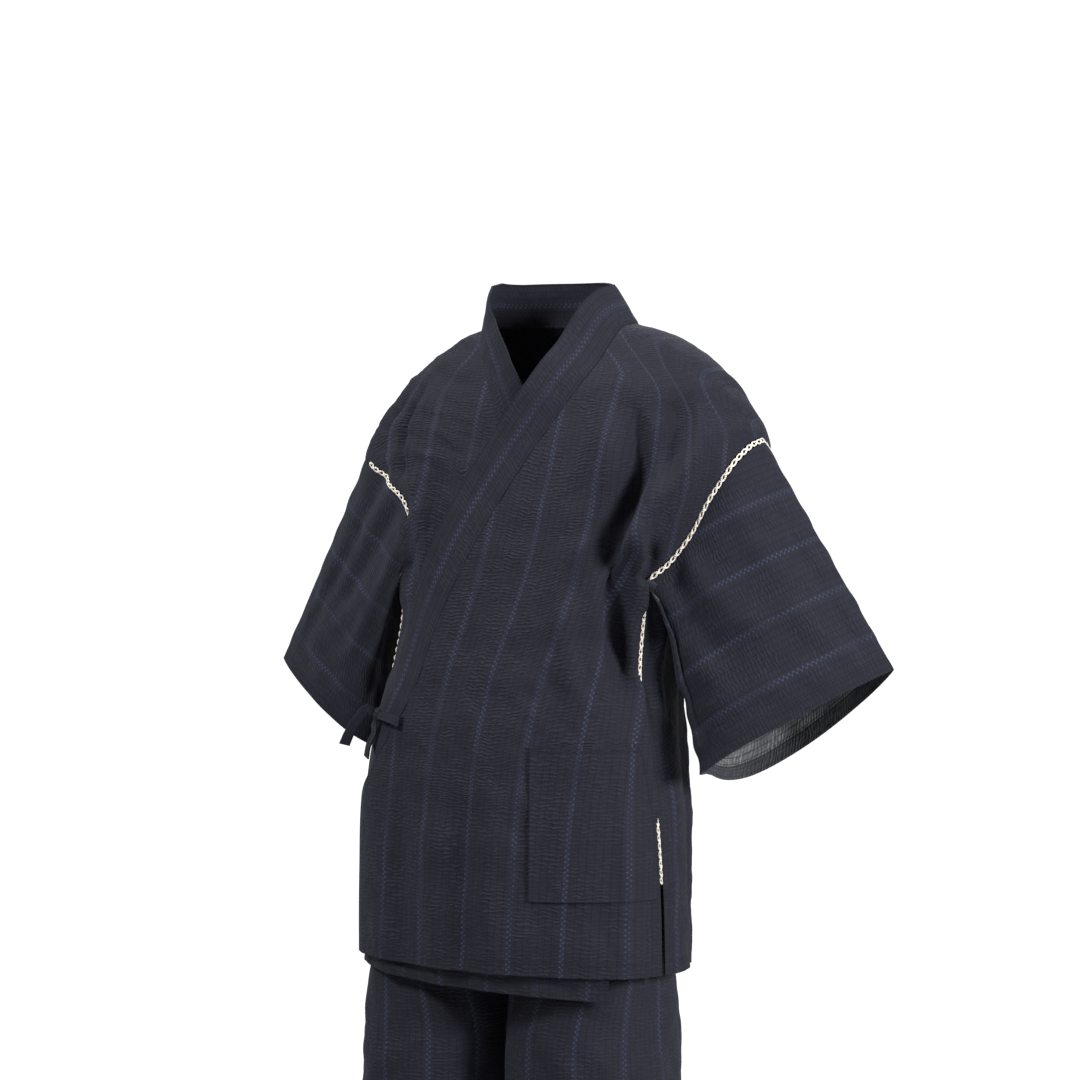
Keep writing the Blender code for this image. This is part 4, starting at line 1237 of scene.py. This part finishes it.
def trouser_waist():
    """The waistband, gathered by the elastic inside it."""
    angle = np.linspace(0, 2 * math.pi, 321)[None, :]
    height = np.linspace(WAIST - WAISTBAND_HEIGHT, WAIST, 12)[:, None]
    height, angle = np.broadcast_arrays(height, angle)
    normal = ring_normal(TROUSERS, angle, height, WAIST + 0.04)
    level = (height - WAIST) / WAISTBAND_HEIGHT + 1
    gather = 0.0007 * np.sin(angle * WAIST_GATHERS + 1.4 * np.sin(angle * 9))
    gather = gather * (0.5 + 0.5 * np.cos(level * 2 * math.pi * 2))
    points = ring(TROUSERS, angle, height) + normal * (gather - 0.0004)[..., None]
    around, along = lengths(points, 1), lengths(points, 0)
    hem = np.minimum(along, along[-1:] - along) + 0.004
    cloths, wall = (cotton("waistband_cotton", 0.0, 0.7, hem=0.008),), COLLAR_WALL - 0.0008
    name, flat_map = "trouser_waistband_cloth", (around, along)
    return lay_cloth(name, points, on_axis(points), flat_map, hem, wall, cloths, tube=True)


def tie_tape(name, sheets, material):
    """A flat tie, with hems along its long edges."""
    share = np.linspace(0, 1, 7)[None, :, None]
    points, core = (mix(sheet[:, :1], sheet[:, 1:], share) for sheet in sheets)
    across, along = lengths(points, 1), lengths(points, 0)
    hem = from_edges(across) + EDGE_HEM
    return lay_cloth(name, points, core, (across, along), hem, WALL, (material,))


def bow_knot(material):
    """The bow's knot: a lump of tape with two bands wrapped over it."""
    place, ways = by_knot(0, 0, 0), np.stack(knot_ways())
    bpy.ops.object.select_all(action="DESELECT")
    bpy.ops.mesh.primitive_uv_sphere_add(segments=40, ring_count=24, radius=0.5)
    lump = bpy.context.object
    lump.name = lump.data.name = "bow_knot"
    for vertex in lump.data.vertices:
        x, y, z = vertex.co
        band = 1 + 0.10 * math.cos(abs(z + 0.35 * x) * 22) * (1 - abs(z * 2) ** 3)
        vertex.co = Vector(place + (np.array((x * band, y * band, z)) * KNOT_SIZE) @ ways)
    lump.data.uv_layers[0].name = "cloth_map"
    for corner in lump.data.uv_layers[0].data:
        corner.uv = (corner.uv[0] * 0.05, corner.uv[1] * 0.03)
    lump.data.materials.append(material)
    lump.data.shade_smooth()
    return lump


BRAID_REPEAT = 0.0200  # one whole turn of a strand about the others
STRAND_SIDES = 7
STRAND_HALF_WIDTH = 0.00085
STRAND_HALF_THICKNESS = 0.00070
STRAND_SPACING = 0.0013  # between its rings


def braid_strands(name, middle, across, facing, width, material):
    """Two pairs of cords that cross over and under each other along a seam, with gaps between the crossings.

    middle is the seam's line as points; across and facing are its ways across the braid and outwards.
    """
    travelled = lengths(middle, 0)
    count = max(12, int(travelled[-1] / STRAND_SPACING))
    at = np.linspace(0, travelled[-1], count)
    line, side_way, out_way = (
        np.stack([np.interp(at, travelled, way[:, k]) for k in range(3)], -1)
        for way in (middle, across, facing)
    )
    side_way, out_way = unit(side_way), unit(out_way)
    repeats = max(1, round(travelled[-1] / BRAID_REPEAT))
    swing = at / travelled[-1] * 2 * math.pi * repeats
    strands = []
    for number, phase in enumerate((0.0, math.pi, 0.45, math.pi + 0.45)):
        reach = (width * 0.42 - 0.0009) * np.sin(swing + phase + 0.25 * np.sin(swing * 0.37))
        over = 0.00075 * np.cos(2 * swing + phase + number * math.pi)
        path = line + side_way * reach[:, None] + out_way * (over + 0.0002)[:, None]
        strands.append(cord_along(f"{name}_strand_{number}", path, out_way, material))
    bpy.ops.object.select_all(action="DESELECT")
    for strand in strands:
        strand.select_set(True)
    bpy.context.view_layer.objects.active = strands[0]
    bpy.ops.object.join()
    strands[0].name = strands[0].data.name = name
    return strands[0]


def cord_along(name, path, facing, material):
    """A slightly flat cord along a path, with closed ends and a map of its twist."""
    slope = unit(np.gradient(path, axis=0))
    wide_way = unit(np.cross(facing, slope))
    thick_way = np.cross(slope, wide_way)
    turn = np.linspace(0, 2 * math.pi, STRAND_SIDES + 1)
    end = np.concatenate([[0.4, 0.85], np.ones(len(path) - 4), [0.85, 0.4]])[:, None, None]
    wide = wide_way[:, None] * np.cos(turn)[None, :, None] * STRAND_HALF_WIDTH
    thick = thick_way[:, None] * np.sin(turn)[None, :, None] * STRAND_HALF_THICKNESS
    points = path[:, None] + (wide + thick) * end
    twist_map = np.stack(np.broadcast_arrays(turn[None, :] / 2 / math.pi, lengths(path, 0)[:, None]), -1)
    cord = lay_grid(name, points, "cord_map", twist_map)[0]
    bpy.ops.object.mode_set(mode="EDIT")
    bpy.ops.mesh.select_all(action="SELECT")
    bpy.ops.mesh.remove_doubles(threshold=0.00002)
    bpy.ops.mesh.select_all(action="DESELECT")
    bpy.ops.mesh.select_non_manifold(extend=False, use_boundary=True)
    bpy.ops.mesh.edge_face_add()
    bpy.ops.mesh.select_all(action="SELECT")
    bpy.ops.mesh.normals_make_consistent(inside=False)
    bpy.ops.object.mode_set(mode="OBJECT")
    cord.data.materials.append(material)
    cord.data.shade_smooth()
    return cord


def armhole_cord(side, material):
    """The braid over the shoulder; under the arm, where the sleeve is folded back flat, it is hidden."""
    station = np.linspace(BRAID_START, BRAID_END[side], 200)
    middle = arm(side, station, BRAID_WIDTH / 2 + 0 * station, -0.0006)
    before = arm(side, station, 0.0004 + 0 * station)
    after = arm(side, station, BRAID_WIDTH - 0.0004 + 0 * station)
    strip = np.stack([before, middle, after], 1)
    facing = outward(strip, on_axis(strip))[:, 1]
    name = f"armhole_cord_{half(side)}"
    return braid_strands(name, middle, unit(after - before), facing, BRAID_WIDTH, material)


def side_cord(side, material):
    height = np.linspace(SLIT_TOP, SIDE_TOP - 8 * SEAM, 120)
    angle = side * np.radians(column(SIDE_SEAM, half(side), height))
    lift = overlap_lift(angle, height, side)
    middle = body(angle, height, lift - 0.0006)
    across = unit(body(angle + 0.01, height, lift) - body(angle - 0.01, height, lift))
    facing = ring_normal(JACKET, angle, height, NECK)
    name, width = f"side_cord_{half(side)}", SIDE_BRAID_WIDTH + 0.0012
    return braid_strands(name, middle, across, facing, width, material)


def dress():
    crinkled_stripes()
    cream = braid_yarn()
    for side in (1, -1):
        name = half(side)
        panel = settle(jacket_body(side), [f"front_{name}", f"back_{name}"])
        arm_cloth = settle(jacket_sleeve(side), [f"sleeve_front_{name}", f"sleeve_back_{name}"])
        settle(armhole_cord(side, cream), [f"armhole_braid_{name}"])
        settle(side_cord(side, cream), [f"side_braid_{name}"])
        cloth = settle(trouser_leg(side), [f"trouser_front_{name}", f"trouser_back_{name}"])
    band = settle(collar_band(), ["collar_left", "collar_back", "collar_right"])
    pocket_cloth = settle(patch_pocket(), ["pocket"])
    waist = settle(trouser_waist(), ["trouser_waistband"])
    tie_cotton = cotton("tie_cotton", 0.05, 0.4, hem=0.005)
    settle(bow_knot(tie_cotton), ["tie_knot"])
    for name, sheets in (
        ("tie_loop", tie_loop()),
        ("tie_from_side", tie_from_side()),
        ("tie_end_lower", tie_end(TIE_END_LOWER, edge_on=False)),
        ("tie_end_upper", tie_end(TIE_END_UPPER, edge_on=True)),
    ):
        tape_cloth = settle(tie_tape(f"{name}_cloth", sheets, tie_cotton), [name])


set_camera()
set_room()
dress()
